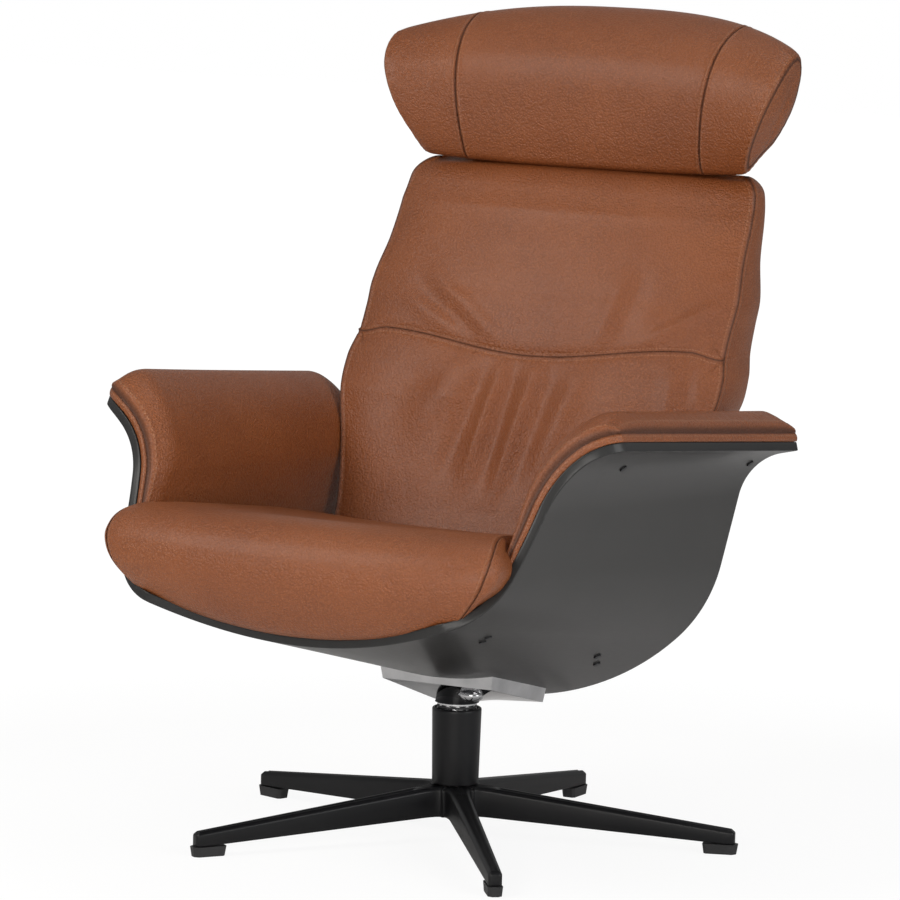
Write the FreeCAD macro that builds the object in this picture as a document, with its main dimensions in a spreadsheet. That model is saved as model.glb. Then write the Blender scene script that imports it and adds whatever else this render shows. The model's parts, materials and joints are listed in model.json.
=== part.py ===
import FreeCAD, Part
import math
import os
import Sketcher
from FreeCAD import Placement, Rotation, Vector

# Swivel recliner on a star base, in millimetres. The swivel axis is Z and the floor is at zero.
# The sitter looks along -Y and has the +X arm on the left.

SIZES = {
    # Star base and its glides
    "leg_count": 5, "leg_reach": 371, "leg_root": 14, "leg_root_width": 27, "leg_tip_width": 18,
    "leg_root_top": 73, "leg_root_base": 33, "leg_tip_top": 32, "leg_bevel": 4, "leg_tip_bevel": 3,
    "hub_radius": 34, "glide_height": 13, "glide_length": 46, "glide_width": 20, "glide_overhang": 4,
    "glide_draft": 2, "stem_radius": 4, "stem_height": 9,
    # Column and its two bushes
    "column_radius": 32.5, "column_foot_radius": 30.5, "column_wall": 4, "column_foot": 74, "column_top": 174,
    "bush_length": 24, "bush_inset": 6, "bush_height": 3.5, "running_gap": 0.08,
    # Thrust bearing
    "race_thickness": 2.5, "roller_radius": 3, "roller_length": 5, "roller_count": 12, "roller_gap": 0.05,
    "cage_thickness": 2.4,
    # Swivel post, its ring and its collar
    "post_radius": 19, "post_foot": 76, "post_top": 199, "ring_foot": 78, "ring_thickness": 1.2,
    "ring_groove_radius": 17.5, "ring_radius": 22,
    "collar_top_radius": 21, "collar_radius": 29, "collar_height": 13,
    # Seat bracket under the shell, its screws and its cap
    "bracket_half_width": 80, "bracket_front": 58, "bracket_rear": 90, "bracket_rim": 9, "bracket_lift": 0.5,
    "bracket_foot_half": 25, "bracket_foot_front": 8, "bracket_foot_rear": 30, "bracket_flare": 6,
    "bracket_screw_radius": 4, "bracket_screw_head": 7, "bracket_screw_inset": 16, "bracket_screw_depth": 12,
    "cap_radius": 16, "cap_height": 7, "cap_across": 34, "cap_forward": 36, "cap_lift": 5,
    # Moulded shell: the outer surface at its front and rear stations
    "ply": 12, "front_station": -480, "rear_station": 260,
    "front_base": 327, "front_bottom_radius": 734, "front_bottom_turn": 16.8, "front_corner_radius": 97,
    "front_side_lean": 77.8, "front_side_run": 73.5, "front_flare_radius": 126, "front_arm_rise": 23,
    "front_arm_run": 5,
    "rear_base": 142, "rear_bottom_radius": 318, "rear_bottom_turn": 49, "rear_corner_radius": 201,
    "rear_side_lean": 83, "rear_side_run": 96, "rear_flare_radius": 66, "rear_arm_rise": 13,
    "rear_arm_run": 24,
    # Its edges in side view and the rounded corners of its arms
    "edge_top": 640, "arm_front": -303, "arm_front_height": 590, "edge_waist": -350, "edge_waist_height": 481,
    "nose": -449, "nose_height": 358, "lip": -420, "lip_height": 312,
    "rear_edge": 141, "rear_edge_height": 176, "rear_edge_tilt": 14,
    "arm_half_width": 373, "arm_corner": 60,
    # Screws seen on the shell
    "shell_screw_radius": 2.5, "shell_screw_head": 5, "shell_screw_head_height": 2, "fitting_screw_grip": 5,
    "front_screw_across": 204, "front_screw_back": -319, "rear_screw_across": 187, "rear_screw_back": 19,
    "screw_step": 15, "arm_screw_front": -192, "arm_screw_rear": 190, "arm_screw_along": 3.6,
    # Arm pads
    "pad_top": 41, "pad_flare": 36, "pad_waist": 26, "pad_low": 15, "pad_crown": 5, "pad_bulge": 8,
    "pad_corner": 8, "pad_inset": 0.5, "pad_foot_along": 1.75,
    "pad_brow_reach": 85, "pad_brow_drop": 62, "pad_crest": 630,
    # Seat cushion
    "seat_half_width": 281, "seat_between_pads": 246, "seat_step": -384, "seat_nose": -474,
    "seat_nose_height": 405, "seat_lip": -438, "seat_front": -432, "seat_front_height": 467,
    "seat_crown": 10, "seat_rear": 71, "seat_rear_height": 402, "seat_rear_foot": 44,
    "seat_end_drop": 10, "seat_end_low": 425, "seat_end_rise": 280, "seat_corner": 0.82, "seat_trim": 12,
    "soft_gap": 0.4, "pad_side_gap": 0.6,
    # Seat board and the two rails under it
    "board_thickness": 12, "board_front": -378, "board_front_height": 360, "board_rear": 40,
    "board_rear_height": 322, "board_half_width": 172, "board_wide": 205, "board_widens": -300,
    "rail_width": 30, "rail_height": 20, "rail_front": -312, "rail_rear": -60, "rail_wall": 2.5,
    # Recline pivot: brackets, bolts, washers, nuts and bushes
    "pivot_back": 150, "pivot_height": 330, "pivot_radius": 4, "pivot_bush_radius": 5.5, "pivot_gap": 0.4,
    "pivot_washer": 1.4, "ear_thickness": 5, "ear_radius": 16, "bolt_head": 7, "bolt_head_height": 5,
    "nut_height": 6.5, "foot_thickness": 5, "foot_half_length": 44, "foot_width": 46, "foot_middle": 37,
    # Frame of the back
    "frame_lean": 19.8, "frame_half_width": 196, "frame_tube": 8, "frame_wall": 2, "frame_top": 790,
    "frame_plate": 3, "frame_plate_height": 34, "frame_clearance": 0.3, "lug_radius": 14, "lug_thickness": 8,
    # Back cushion and cover
    "back_foot": 352, "back_top": 852.5, "back_front": 209, "back_front_height": 632, "back_front_lean": 26.8,
    "back_rear": 264, "back_rear_height": 574, "back_rear_lean": 22, "back_rear_belly": 12,
    "back_low_half_width": 234, "back_half_width": 275, "back_full_height": 580, "back_taper": 20,
    "back_shoulder": 16, "back_crown": 22, "back_side_bulge": 4, "back_seam_draw": 4,
    "cover_edge": 7, "cover_lap": 4, "cover_crown": 14,
    # Headrest: sleeves, stays, cross rod and board
    "stay_half_pitch": 70, "stay_radius": 5, "stay_foot": 600, "sleeve_wall": 2, "sleeve_top": 796,
    "sleeve_length": 130, "stay_hole_gap": 1.5, "tilt_height": 878, "rod_radius": 7, "rod_half_length": 105,
    "knuckle_wall": 3, "knuckle_half_length": 14, "knuckle_middle": 35,
    "board_plate": 6, "board_plate_half_width": 140, "board_plate_height": 120, "headrest_pocket_gap": 2,
    "headrest_pocket_front": 22,
    # Headrest cushion
    "headrest_foot": 861, "headrest_half_width": 301, "headrest_top": 1071, "headrest_top_fall": 47,
    "headrest_corner": 0.81, "headrest_foot_rise": 131, "headrest_front": 316, "headrest_wing": 26,
    "headrest_end_set": 35, "headrest_rear": 482, "headrest_rear_taper": 120,
}

doc = FreeCAD.newDocument("recliner")
sheet = doc.addObject("Spreadsheet::Sheet", "Sizes")
for row, (alias, value) in enumerate(SIZES.items(), start=1):
    sheet.set("A%d" % row, alias)
    sheet.set("B%d" % row, str(value))
    sheet.setAlias("B%d" % row, alias)
doc.recompute()
PARTS = []


def size(alias):
    return float(sheet.get(alias))


def tan(alias):
    return math.tan(math.radians(size(alias)))


def keep(thing, label):
    thing.Label = label
    PARTS.append(thing)
    return thing


def feature(label, shape, placement=None):
    thing = doc.addObject("Part::Feature", label)
    thing.Shape = shape
    if placement is not None:
        thing.Placement = placement
    return keep(thing, label)


def cell(expression):
    """Turns words such as 'post_radius + column_wall' into an expression on the sheet."""
    words = []
    for word in expression.replace("(", "( ").replace(")", " )").split():
        words.append("Sizes." + word if word in SIZES else word)
    return " ".join(words)


def number(expression):
    """The value of the same words now."""
    probe = doc.getObject("Probe") or doc.addObject("App::FeaturePython", "Probe")
    if "reading" not in probe.PropertiesList:
        probe.addProperty("App::PropertyFloat", "reading")
    probe.setExpression("reading", cell(expression))
    probe.recompute()
    return float(probe.reading)


def new_body(label):
    return keep(doc.addObject("PartDesign::Body", label), label)


def plane(body, role):
    return [item for item in body.Origin.OriginFeatures if item.Role == role][0]


def outline(body, role, name, corners, offset=None):
    """A closed sketch of straight lines whose corners are pairs of words on the sheet."""
    sketch = body.newObject("Sketcher::SketchObject", name)
    sketch.AttachmentSupport = [(plane(body, role), "")]
    sketch.MapMode = "FlatFace"
    if offset is not None:
        sketch.setExpression("AttachmentOffset.Base.z", cell(offset))
    points = [Vector(number(across), number(up), 0) for across, up in corners]
    for first, second in zip(points, points[1:] + points[:1]):
        sketch.addGeometry(Part.LineSegment(first, second))
    count = len(points)
    for index in range(count):
        sketch.addConstraint(Sketcher.Constraint("Coincident", index, 2, (index + 1) % count, 1))
    for index, (across, up) in enumerate(corners):
        for kind, words, value in (("DistanceX", across, points[index].x), ("DistanceY", up, points[index].y)):
            where = sketch.addConstraint(Sketcher.Constraint(kind, -1, 1, index, 1, value))
            sketch.setExpression("Constraints[%d]" % where, cell(words))
    return sketch


def circle(body, role, name, radius, offset=None, across=None):
    sketch = body.newObject("Sketcher::SketchObject", name)
    sketch.AttachmentSupport = [(plane(body, role), "")]
    sketch.MapMode = "FlatFace"
    if offset is not None:
        sketch.setExpression("AttachmentOffset.Base.z", cell(offset))
    centre = Vector(number(across) if across else 0, 0, 0)
    sketch.addGeometry(Part.Circle(centre, Vector(0, 0, 1), number(radius)))
    where = sketch.addConstraint(Sketcher.Constraint("Radius", 0, number(radius)))
    sketch.setExpression("Constraints[%d]" % where, cell(radius))
    if across:
        where = sketch.addConstraint(Sketcher.Constraint("DistanceX", -1, 1, 0, 3, centre.x))
        sketch.setExpression("Constraints[%d]" % where, cell(across))
    return sketch


def turned(label, corners):
    """A body of revolution about Z, from its half section in radius and height."""
    body = new_body(label)
    sketch = outline(body, "XZ_Plane", label + "_section", corners)
    spin = body.newObject("PartDesign::Revolution", label + "_turn")
    spin.Profile = sketch
    spin.ReferenceAxis = (sketch, ["V_Axis"])
    spin.Angle = 360
    body.Tip = spin
    return body


# Star base

def star_base():
    body = new_body("star_base")
    hub = outline(body, "XZ_Plane", "hub_section", [
        ("0", "leg_root_base"), ("hub_radius - leg_bevel", "leg_root_base"),
        ("hub_radius", "leg_root_base + leg_bevel"), ("hub_radius", "leg_root_top - leg_bevel"),
        ("hub_radius - leg_bevel", "column_foot"), ("0", "column_foot")])
    spin = body.newObject("PartDesign::Revolution", "hub")
    spin.Profile = hub
    spin.ReferenceAxis = (hub, ["V_Axis"])
    spin.Angle = 360
    sections = []
    for name, where, half, low, high, bevel in (
            ("root_section", "leg_root", "leg_root_width / 2", "leg_root_base", "leg_root_top", "leg_bevel"),
            ("tip_section", "leg_reach", "leg_tip_width / 2", "glide_height", "leg_tip_top", "leg_tip_bevel")):
        top_half = "%s - 1.6 * %s" % (half, bevel)
        sections.append(outline(body, "YZ_Plane", name, [
            ("0 - %s" % half, "%s + 1" % low), ("1 - %s" % half, low), ("%s - 1" % half, low),
            (half, "%s + 1" % low),
            (half, "%s - %s" % (high, bevel)), (top_half, high),
            ("0 - ( %s )" % top_half, high), ("0 - %s" % half, "%s - %s" % (high, bevel))], offset=where))
    leg = body.newObject("PartDesign::AdditiveLoft", "leg")
    leg.Profile = sections[0]
    leg.Sections = [sections[1]]
    leg.Ruled = True
    socket = circle(body, "XY_Plane", "socket_circle", "stem_radius", offset="glide_height",
                    across="leg_reach - glide_length / 2")
    hole = body.newObject("PartDesign::Pocket", "socket")
    hole.Profile = socket
    hole.Reversed = True
    hole.setExpression("Length", cell("stem_height"))
    star = body.newObject("PartDesign::PolarPattern", "star")
    star.Originals = [leg, hole]
    star.Axis = (hub, ["V_Axis"])
    star.Angle = 360
    star.setExpression("Occurrences", cell("leg_count"))
    body.Tip = star
    body.Placement = Placement(Vector(), Rotation(Vector(0, 0, 1), 90))
    return body


def foot_glides():
    count = int(size("leg_count"))
    for index in range(count):
        label = "foot_glide_%d" % (index + 1)
        body = new_body(label)
        layers = []
        for name, shrink, height in (("sole", "glide_draft", "0"), ("seat", "0", "glide_height")):
            low = "leg_reach + glide_overhang - glide_length + %s" % shrink
            high = "leg_reach + glide_overhang - %s" % shrink
            half = "glide_width / 2 - %s / 2" % shrink
            layers.append(outline(body, "XY_Plane", "%s_%s" % (label, name), [
                (low, "0 - ( %s ) + 3" % half), ("%s + 3" % low, "0 - ( %s )" % half),
                ("%s - 5" % high, "0 - ( %s )" % half), (high, "0 - ( %s ) + 5" % half),
                (high, "%s - 5" % half), ("%s - 5" % high, half), ("%s + 3" % low, half),
                (low, "%s - 3" % half)], offset=height))
        pad = body.newObject("PartDesign::AdditiveLoft", label + "_pad")
        pad.Profile = layers[0]
        pad.Sections = [layers[1]]
        pad.Ruled = True
        stem = circle(body, "XY_Plane", label + "_stem_circle", "stem_radius", offset="glide_height",
                      across="leg_reach - glide_length / 2")
        rise = body.newObject("PartDesign::Pad", label + "_stem")
        rise.Profile = stem
        rise.setExpression("Length", cell("stem_height"))
        body.Tip = rise
        body.Placement = Placement(Vector(), Rotation(Vector(0, 0, 1), 90 + 360 * index / count))


# Column, post and bearing

def column():
    turned("column_tube", [
        ("column_foot_radius - column_wall", "column_foot"), ("column_foot_radius", "column_foot"),
        ("column_radius", "column_top - 2"), ("column_radius - 2", "column_top"),
        ("column_radius - column_wall", "column_top")])
    inner = "column_foot_radius - column_wall - 0.5"
    shelf = "column_top - bush_height"
    turned("column_bush_upper", [
        ("post_radius + running_gap", "%s - bush_length" % shelf), (inner, "%s - bush_length" % shelf),
        (inner, "%s - 4" % shelf), ("column_foot_radius - column_wall", "%s - 4" % shelf),
        ("column_foot_radius - column_wall", shelf), ("post_radius + running_gap", shelf)])
    turned("column_bush_lower", [
        ("post_radius + running_gap", "column_foot + bush_inset"),
        ("column_foot_radius - column_wall", "column_foot + bush_inset"),
        (inner, "column_foot + bush_inset + bush_length"),
        ("post_radius + running_gap", "column_foot + bush_inset + bush_length")])


def bearing():
    inner = "post_radius + 0.3"
    outer = "column_foot_radius - column_wall - 0.4"
    base = "column_top - bush_height"
    ring = "post_radius + ( column_foot_radius - column_wall - post_radius ) / 2"
    turned("bearing_race_lower", [(inner, base), (outer, base), (outer, "%s + race_thickness" % base),
                                  (inner, "%s + race_thickness" % base)])
    middle = "%s + race_thickness + roller_gap + roller_radius" % base
    turned("bearing_cage", [
        ("post_radius + 0.2", "%s - cage_thickness / 2" % middle),
        ("%s + 3.2" % ring, "%s - cage_thickness / 2" % middle),
        ("%s + 3.2" % ring, "%s + cage_thickness / 2" % middle),
        ("post_radius + 0.2", "%s + cage_thickness / 2" % middle)])
    top = "%s + roller_radius + roller_gap" % middle
    turned("bearing_race_upper", [("post_radius", top), (outer, top), (outer, "%s + race_thickness" % top),
                                  ("post_radius", "%s + race_thickness" % top)])
    return number(ring), number(middle)


def rollers(ring, middle):
    """Radial rollers in the windows of the cage."""
    solids, windows = [], []
    half = size("roller_length") / 2
    for index in range(int(size("roller_count"))):
        turn = 2 * math.pi * index / size("roller_count")
        outward = Vector(math.cos(turn), math.sin(turn), 0)
        centre = outward * ring + Vector(0, 0, middle)
        solids.append(Part.makeCylinder(size("roller_radius"), 2 * half, centre - outward * half, outward))
        windows.append(Part.makeCylinder(size("roller_radius") + 0.1, 2 * half + 0.2,
                                         centre - outward * (half + 0.1), outward))
    feature("bearing_rollers", Part.makeCompound(solids))
    return windows


def cage_windows(windows):
    """The cage is a turned ring with a window cut round each roller."""
    doc.recompute()
    ring = doc.getObject("bearing_cage")
    PARTS.remove(ring)
    ring.Label = "cage_ring"
    feature("bearing_cage", ring.Shape.cut(windows))


# Moulded shell: a ruled surface between two stations, each a tangent run of arcs and lines

def station(end):
    """The named sizes of one station of the shell."""
    words = ("base", "bottom_radius", "bottom_turn", "corner_radius", "side_lean", "side_run",
             "flare_radius", "arm_rise", "arm_run")
    return [size("%s_%s" % (end, word)) for word in words]


def half_point(end, along, depth):
    """A point of the right half: along counts the five runs from the middle out, depth goes inward."""
    base, bottom, turn, corner, lean, side, flare, rise, arm = station(end)
    turn, lean, rise = (math.radians(angle) for angle in (turn, lean, rise))
    bottom, corner, flare = bottom - depth, corner - depth, flare + depth
    across, up = 0.0, base + depth
    angle = turn * min(along, 1)
    across += bottom * math.sin(angle)
    up += bottom * (1 - math.cos(angle))
    if along > 1:
        angle = turn + (lean - turn) * min(along - 1, 1)
        across += corner * (math.sin(angle) - math.sin(turn))
        up += corner * (math.cos(turn) - math.cos(angle))
    if along > 2:
        run = side * min(along - 2, 1)
        across += run * math.cos(lean)
        up += run * math.sin(lean)
    if along > 3:
        angle = lean + (rise - lean) * min(along - 3, 1)
        across += flare * (math.sin(lean) - math.sin(angle))
        up += flare * (math.cos(angle) - math.cos(lean))
    if along > 4:
        run = arm * (along - 4)
        across += run * math.cos(rise)
        up += run * math.sin(rise)
    return Vector(across, size(end + "_station"), up)


def mirrored(point):
    return Vector(-point.x, point.y, point.z)


def run_edges(end, start, stop, depth):
    """The edges of the right half between two places, each run an arc or a line."""
    edges = []
    for run in range(5):
        low, high = max(start, run), min(stop, run + 1)
        if high <= low:
            continue
        first, last = half_point(end, low, depth), half_point(end, high, depth)
        if run in (2, 4):
            edges.append(Part.LineSegment(first, last))
        else:
            edges.append(Part.Arc(first, half_point(end, (low + high) / 2, depth), last))
    return edges


def whole_edges(end, depth):
    """The edges from arm end to arm end, with the bottom as one arc."""
    right = run_edges(end, 1, 5, depth)
    left = [mirror_edge(edge) for edge in reversed(right)]
    foot = half_point(end, 1, depth)
    return left + [Part.Arc(mirrored(foot), half_point(end, 0, depth), foot)] + right


def mirror_edge(edge):
    if isinstance(edge, Part.LineSegment):
        return Part.LineSegment(mirrored(edge.EndPoint), mirrored(edge.StartPoint))
    middle = edge.value((edge.FirstParameter + edge.LastParameter) / 2)
    return Part.Arc(mirrored(edge.EndPoint), mirrored(middle), mirrored(edge.StartPoint))


def wire(edges):
    return Part.Wire([edge.toShape() for edge in edges])


def strip(end, outer, inner):
    """The closed section of a layer of the shell between two depths."""
    low, high = half_point(end, 5, outer), half_point(end, 5, inner)
    back = []
    for edge in reversed(whole_edges(end, inner)):
        if isinstance(edge, Part.LineSegment):
            back.append(Part.LineSegment(edge.EndPoint, edge.StartPoint))
        else:
            middle = edge.value((edge.FirstParameter + edge.LastParameter) / 2)
            back.append(Part.Arc(edge.EndPoint, middle, edge.StartPoint))
    return wire(whole_edges(end, outer) + [Part.LineSegment(low, high)] + back
                + [Part.LineSegment(mirrored(high), mirrored(low))])


def layer(outer, inner):
    return Part.makeLoft([strip("front", outer, inner), strip("rear", outer, inner)], True, True)


def space_above(depth):
    """The space inside the shell, from a depth under its outer surface up past the arms."""
    sections = []
    for end in ("front", "rear"):
        arm = half_point(end, 5, depth)
        roof = Vector(arm.x, arm.y, 2 * size("edge_top"))
        sections.append(wire(whole_edges(end, depth) + [
            Part.LineSegment(arm, roof), Part.LineSegment(roof, mirrored(roof)),
            Part.LineSegment(mirrored(roof), mirrored(arm))]))
    return Part.makeLoft(sections, True, True)


def on_shell(along, back, depth):
    """A point of the ruled surface at a distance back, and its outward direction."""
    share = (back - size("front_station")) / (size("rear_station") - size("front_station"))

    def place(where, part):
        return half_point("front", where, depth) * (1 - part) + half_point("rear", where, depth) * part

    point = place(along, share)
    across = place(along + 0.01, share) - place(along - 0.01, share)
    length = place(along, share + 0.01) - place(along, share - 0.01)
    outward = length.cross(across)
    outward.normalize()
    return point, outward


def along_at(across, back):
    """The place along the section whose half width is the one asked for."""
    low, high = 0.0, 3.0
    for _ in range(40):
        middle = (low + high) / 2
        if on_shell(middle, back, size("ply"))[0].x < across:
            low = middle
        else:
            high = middle
    return low


def kept_in_side_view(inset):
    """The side view that the shell and its pads are cut to, as a solid across the chair."""
    top, far = size("edge_top"), 420
    tilt = tan("rear_edge_tilt")
    rear_top = size("rear_edge") + (top - size("rear_edge_height")) * tilt - inset
    rear_foot = size("rear_edge") - size("rear_edge_height") * tilt - inset
    under = (size("nose") - size("lip")) / (size("nose_height") - size("lip_height"))
    front_foot = size("lip") - size("lip_height") * under + inset
    arm = Vector(-far, size("arm_front") + inset, size("arm_front_height"))
    waist = Vector(-far, size("edge_waist") + inset, size("edge_waist_height"))
    nose = Vector(-far, size("nose") + inset, size("nose_height"))
    corners = [Vector(-far, front_foot, 0), Vector(-far, rear_foot, 0), Vector(-far, rear_top, top),
               Vector(-far, size("arm_front") + inset, top)]
    edges = [Part.LineSegment(nose, corners[0])]
    edges += [Part.LineSegment(first, second) for first, second in zip(corners, corners[1:])]
    edges += [Part.LineSegment(corners[-1], arm), Part.Arc(arm, waist, nose)]
    return Part.Face(wire(edges)).extrude(Vector(2 * far, 0, 0))


def arm_corner_block(inset):
    """The plan view of one arm: outside its rounded front corner."""
    width = size("arm_half_width") - inset + 15
    corner = size("arm_corner")
    front = -325 + inset
    first = Vector(width + 60, front + corner, 450)
    begin = Vector(width, front + corner, 450)
    middle = Vector(width - corner * 0.3, front + corner * 0.3, 450)
    end = Vector(width - corner * 1.05, front, 450)
    out = Vector(width - corner * 1.4, front - 90, 450)
    edges = [Part.LineSegment(first, begin), Part.Arc(begin, middle, end), Part.LineSegment(end, out),
             Part.LineSegment(out, Vector(width + 60, front - 90, 450)),
             Part.LineSegment(Vector(width + 60, front - 90, 450), first)]
    block = Part.Face(wire(edges)).extrude(Vector(0, 0, 300))
    return block.fuse(block.mirror(Vector(), Vector(1, 0, 0)))


def trimmed(shape, inset=0.0):
    return shape.common(kept_in_side_view(inset)).cut(arm_corner_block(inset))


# Swivel post and its collar

COLLAR_FOOT = "column_top - bush_height + 2 * race_thickness + 2 * roller_radius + 2 * roller_gap"


def post():
    turned("swivel_post", [
        ("0", "post_foot"), ("post_radius - 1", "post_foot"), ("post_radius", "post_foot + 1"),
        ("post_radius", "ring_foot"), ("ring_groove_radius", "ring_foot"),
        ("ring_groove_radius", "ring_foot + ring_thickness"), ("post_radius", "ring_foot + ring_thickness"),
        ("post_radius", "post_top - 1"), ("post_radius - 1", "post_top"), ("0", "post_top")])
    turned("retaining_ring", [
        ("ring_groove_radius", "ring_foot"), ("ring_radius", "ring_foot"),
        ("ring_radius", "ring_foot + ring_thickness"), ("ring_groove_radius", "ring_foot + ring_thickness")])
    turned("post_collar", [
        ("post_radius", COLLAR_FOOT), ("collar_radius", COLLAR_FOOT),
        ("collar_top_radius", COLLAR_FOOT + " + collar_height"),
        ("post_radius", COLLAR_FOOT + " + collar_height")])


# Seat bracket: a rim along the shell's underside, four slanted facets and the seat of the post

def rectangle(half, front, rear, height):
    """A wire whose corners lie at the heights that the function height gives."""
    corners = [Vector(across, back, height(back)) for across, back in (
        (-half, front), (half, front), (half, rear), (-half, rear))]
    return Part.makePolygon(corners + corners[:1])


def seat_bracket(collar, screws, cap):
    middle = on_shell(0, 0, 0)[0].z
    slope = (on_shell(0, -50, 0)[0].z - on_shell(0, 50, 0)[0].z) / 100

    def rim_foot(back):
        return middle - slope * back - size("bracket_rim")

    half, front, rear = size("bracket_half_width"), -size("bracket_front"), size("bracket_rear")
    foot = number(COLLAR_FOOT) + size("bracket_lift")
    low = rectangle(size("bracket_foot_half"), -size("bracket_foot_front"), size("bracket_foot_rear"),
                    lambda back: foot)
    rim = rectangle(half, front, rear, rim_foot)
    flare = size("bracket_flare")
    rim_top = rectangle(half + flare, front - flare, rear + flare, lambda back: rim_foot(back) + 40)
    block = Part.makeLoft([low, rim], True, True).fuse(Part.makeLoft([rim, rim_top], True, True))
    bore = Part.makeCylinder(size("post_radius"), size("post_top") - foot + 1, Vector(0, 0, foot - 1))
    return block.cut([space_above(0), bore, collar, cap] + screws).removeSplitter()


def bracket_screws():
    """Countersunk screws from inside the shell into the bracket."""
    solids = []
    inset = size("bracket_screw_inset")
    for side in (-1, 1):
        for back in (inset - size("bracket_front"), size("bracket_rear") - inset):
            across = size("bracket_half_width") - inset
            along = along_at(across, back)
            seat = on_shell(along, back, size("ply"))[0]
            under = on_shell(along, back, 0)[0]
            top = Vector(side * seat.x, seat.y, seat.z - 1.5)
            depth = seat.z - under.z + size("bracket_screw_depth")
            shank = Part.makeCylinder(size("bracket_screw_radius"), depth, top - Vector(0, 0, depth))
            head = Part.makeCone(size("bracket_screw_radius"), size("bracket_screw_head"), 3.5,
                                 top - Vector(0, 0, 3.5))
            solids.append(shank.fuse(head).removeSplitter())
    return solids


def bracket_cap():
    """A low polished dome beside the collar."""
    across, back = size("cap_across"), -size("cap_forward")
    foot = number(COLLAR_FOOT) + size("cap_lift")
    radius, height = size("cap_radius"), size("cap_height")
    ball = (radius ** 2 + height ** 2) / (2 * height)
    dome = Part.makeSphere(ball, Vector(across, back, foot + ball))
    stem = Part.makeCylinder(radius, 2 * height, Vector(across, back, foot))
    return dome.common(stem)


# Screws that show on the shell

def shell_screw(along, back, side, length):
    """A round-headed screw square to the shell, its head outside."""
    point, outward = on_shell(along, back, 0)
    point.x *= side
    outward.x *= side
    shank = Part.makeCylinder(size("shell_screw_radius"), length, point - outward * length, outward)
    head = Part.makeCylinder(size("shell_screw_head"), size("shell_screw_head_height"), point, outward)
    return shank.fuse(head).removeSplitter()


def screw_pairs():
    """The three places of screws on each side: front fitting, pivot bracket and arm."""
    groups = {"front_fitting_screws": [], "pivot_bracket_screws": [], "arm_screws": []}
    length = size("ply") + size("fitting_screw_grip")
    for side in (-1, 1):
        for across, back in ((size("front_screw_across"), size("front_screw_back")),
                             (size("front_screw_across") - size("screw_step"),
                              size("front_screw_back") + size("screw_step"))):
            groups["front_fitting_screws"].append(shell_screw(along_at(across, back), back, side, length))
        for across, back in ((size("rear_screw_across"), size("rear_screw_back")),
                             (size("rear_screw_across") - size("screw_step"),
                              size("rear_screw_back") + 2 * size("screw_step"))):
            groups["pivot_bracket_screws"].append(shell_screw(along_at(across, back), back, side, length))
        for back in (size("arm_screw_front"), size("arm_screw_rear")):
            groups["arm_screws"].append(shell_screw(size("arm_screw_along"), back, side, size("ply") + 12))
    return groups


# Arm pads follow the shell's inner face up over the arm

def pad_section(end, side):
    ply = size("ply")
    low, top = size("pad_foot_along"), ply + size("pad_top")
    foot_in, foot_out = half_point(end, low, ply), half_point(end, low, ply + size("pad_low"))
    waist = half_point(end, 3, ply + size("pad_waist"))
    belly = half_point(end, 2, ply + (size("pad_low") + size("pad_waist")) / 2)
    flare = half_point(end, 3.75, ply + size("pad_flare"))
    bend = half_point(end, 3.35, ply + (size("pad_waist") + size("pad_flare")) / 2)
    edge_low, edge_top = half_point(end, 5, ply), half_point(end, 5, top - size("pad_corner"))
    outward = (half_point(end, 5, ply) - half_point(end, 4.5, ply)).normalize()
    bulge = (edge_low + edge_top) * 0.5 + outward * size("pad_bulge")
    crown = half_point(end, 4.4, top + size("pad_crown"))
    edges = run_edges(end, low, 5, ply)
    edges += [Part.Arc(edge_low, bulge, edge_top), Part.Arc(edge_top, crown, flare),
              Part.Arc(flare, bend, waist), Part.Arc(waist, belly, foot_out),
              Part.LineSegment(foot_out, foot_in)]
    section = wire(edges)
    return section if side > 0 else section.mirror(Vector(), Vector(1, 0, 0))


def arm_pad(side):
    loft = Part.makeLoft([pad_section("front", side), pad_section("rear", side)], True, True)
    loft = loft.common(kept_in_side_view(size("pad_inset"))).cut(arm_corner_block(size("pad_inset")))
    return loft.cut(pad_brow())


def pad_brow():
    """What the rounded front of an arm pad leaves out, in side view."""
    reach, drop, far = size("pad_brow_reach"), size("pad_brow_drop"), 420
    start = Vector(-far, size("arm_front") - 24, size("pad_crest") - drop)
    crest = Vector(-far, size("arm_front") + reach, size("pad_crest") + 2)
    middle = Vector(-far, size("arm_front") - 24 + 0.27 * (reach + 24), size("pad_crest") - 0.36 * drop)
    corner = Vector(-far, -far, size("edge_top") + 20)
    edges = [Part.Arc(start, middle, crest), Part.LineSegment(crest, Vector(-far, crest.y, corner.z)),
             Part.LineSegment(Vector(-far, crest.y, corner.z), corner),
             Part.LineSegment(corner, Vector(-far, -far, start.z)),
             Part.LineSegment(Vector(-far, -far, start.z), start)]
    return Part.Face(wire(edges)).extrude(Vector(2 * far, 0, 0))


# Seat cushion: a loft across the chair, rolled over the lip and stepped round the arm pads

def inner_height(across, back):
    return on_shell(along_at(across, back), back, size("ply"))[0].z


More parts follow.
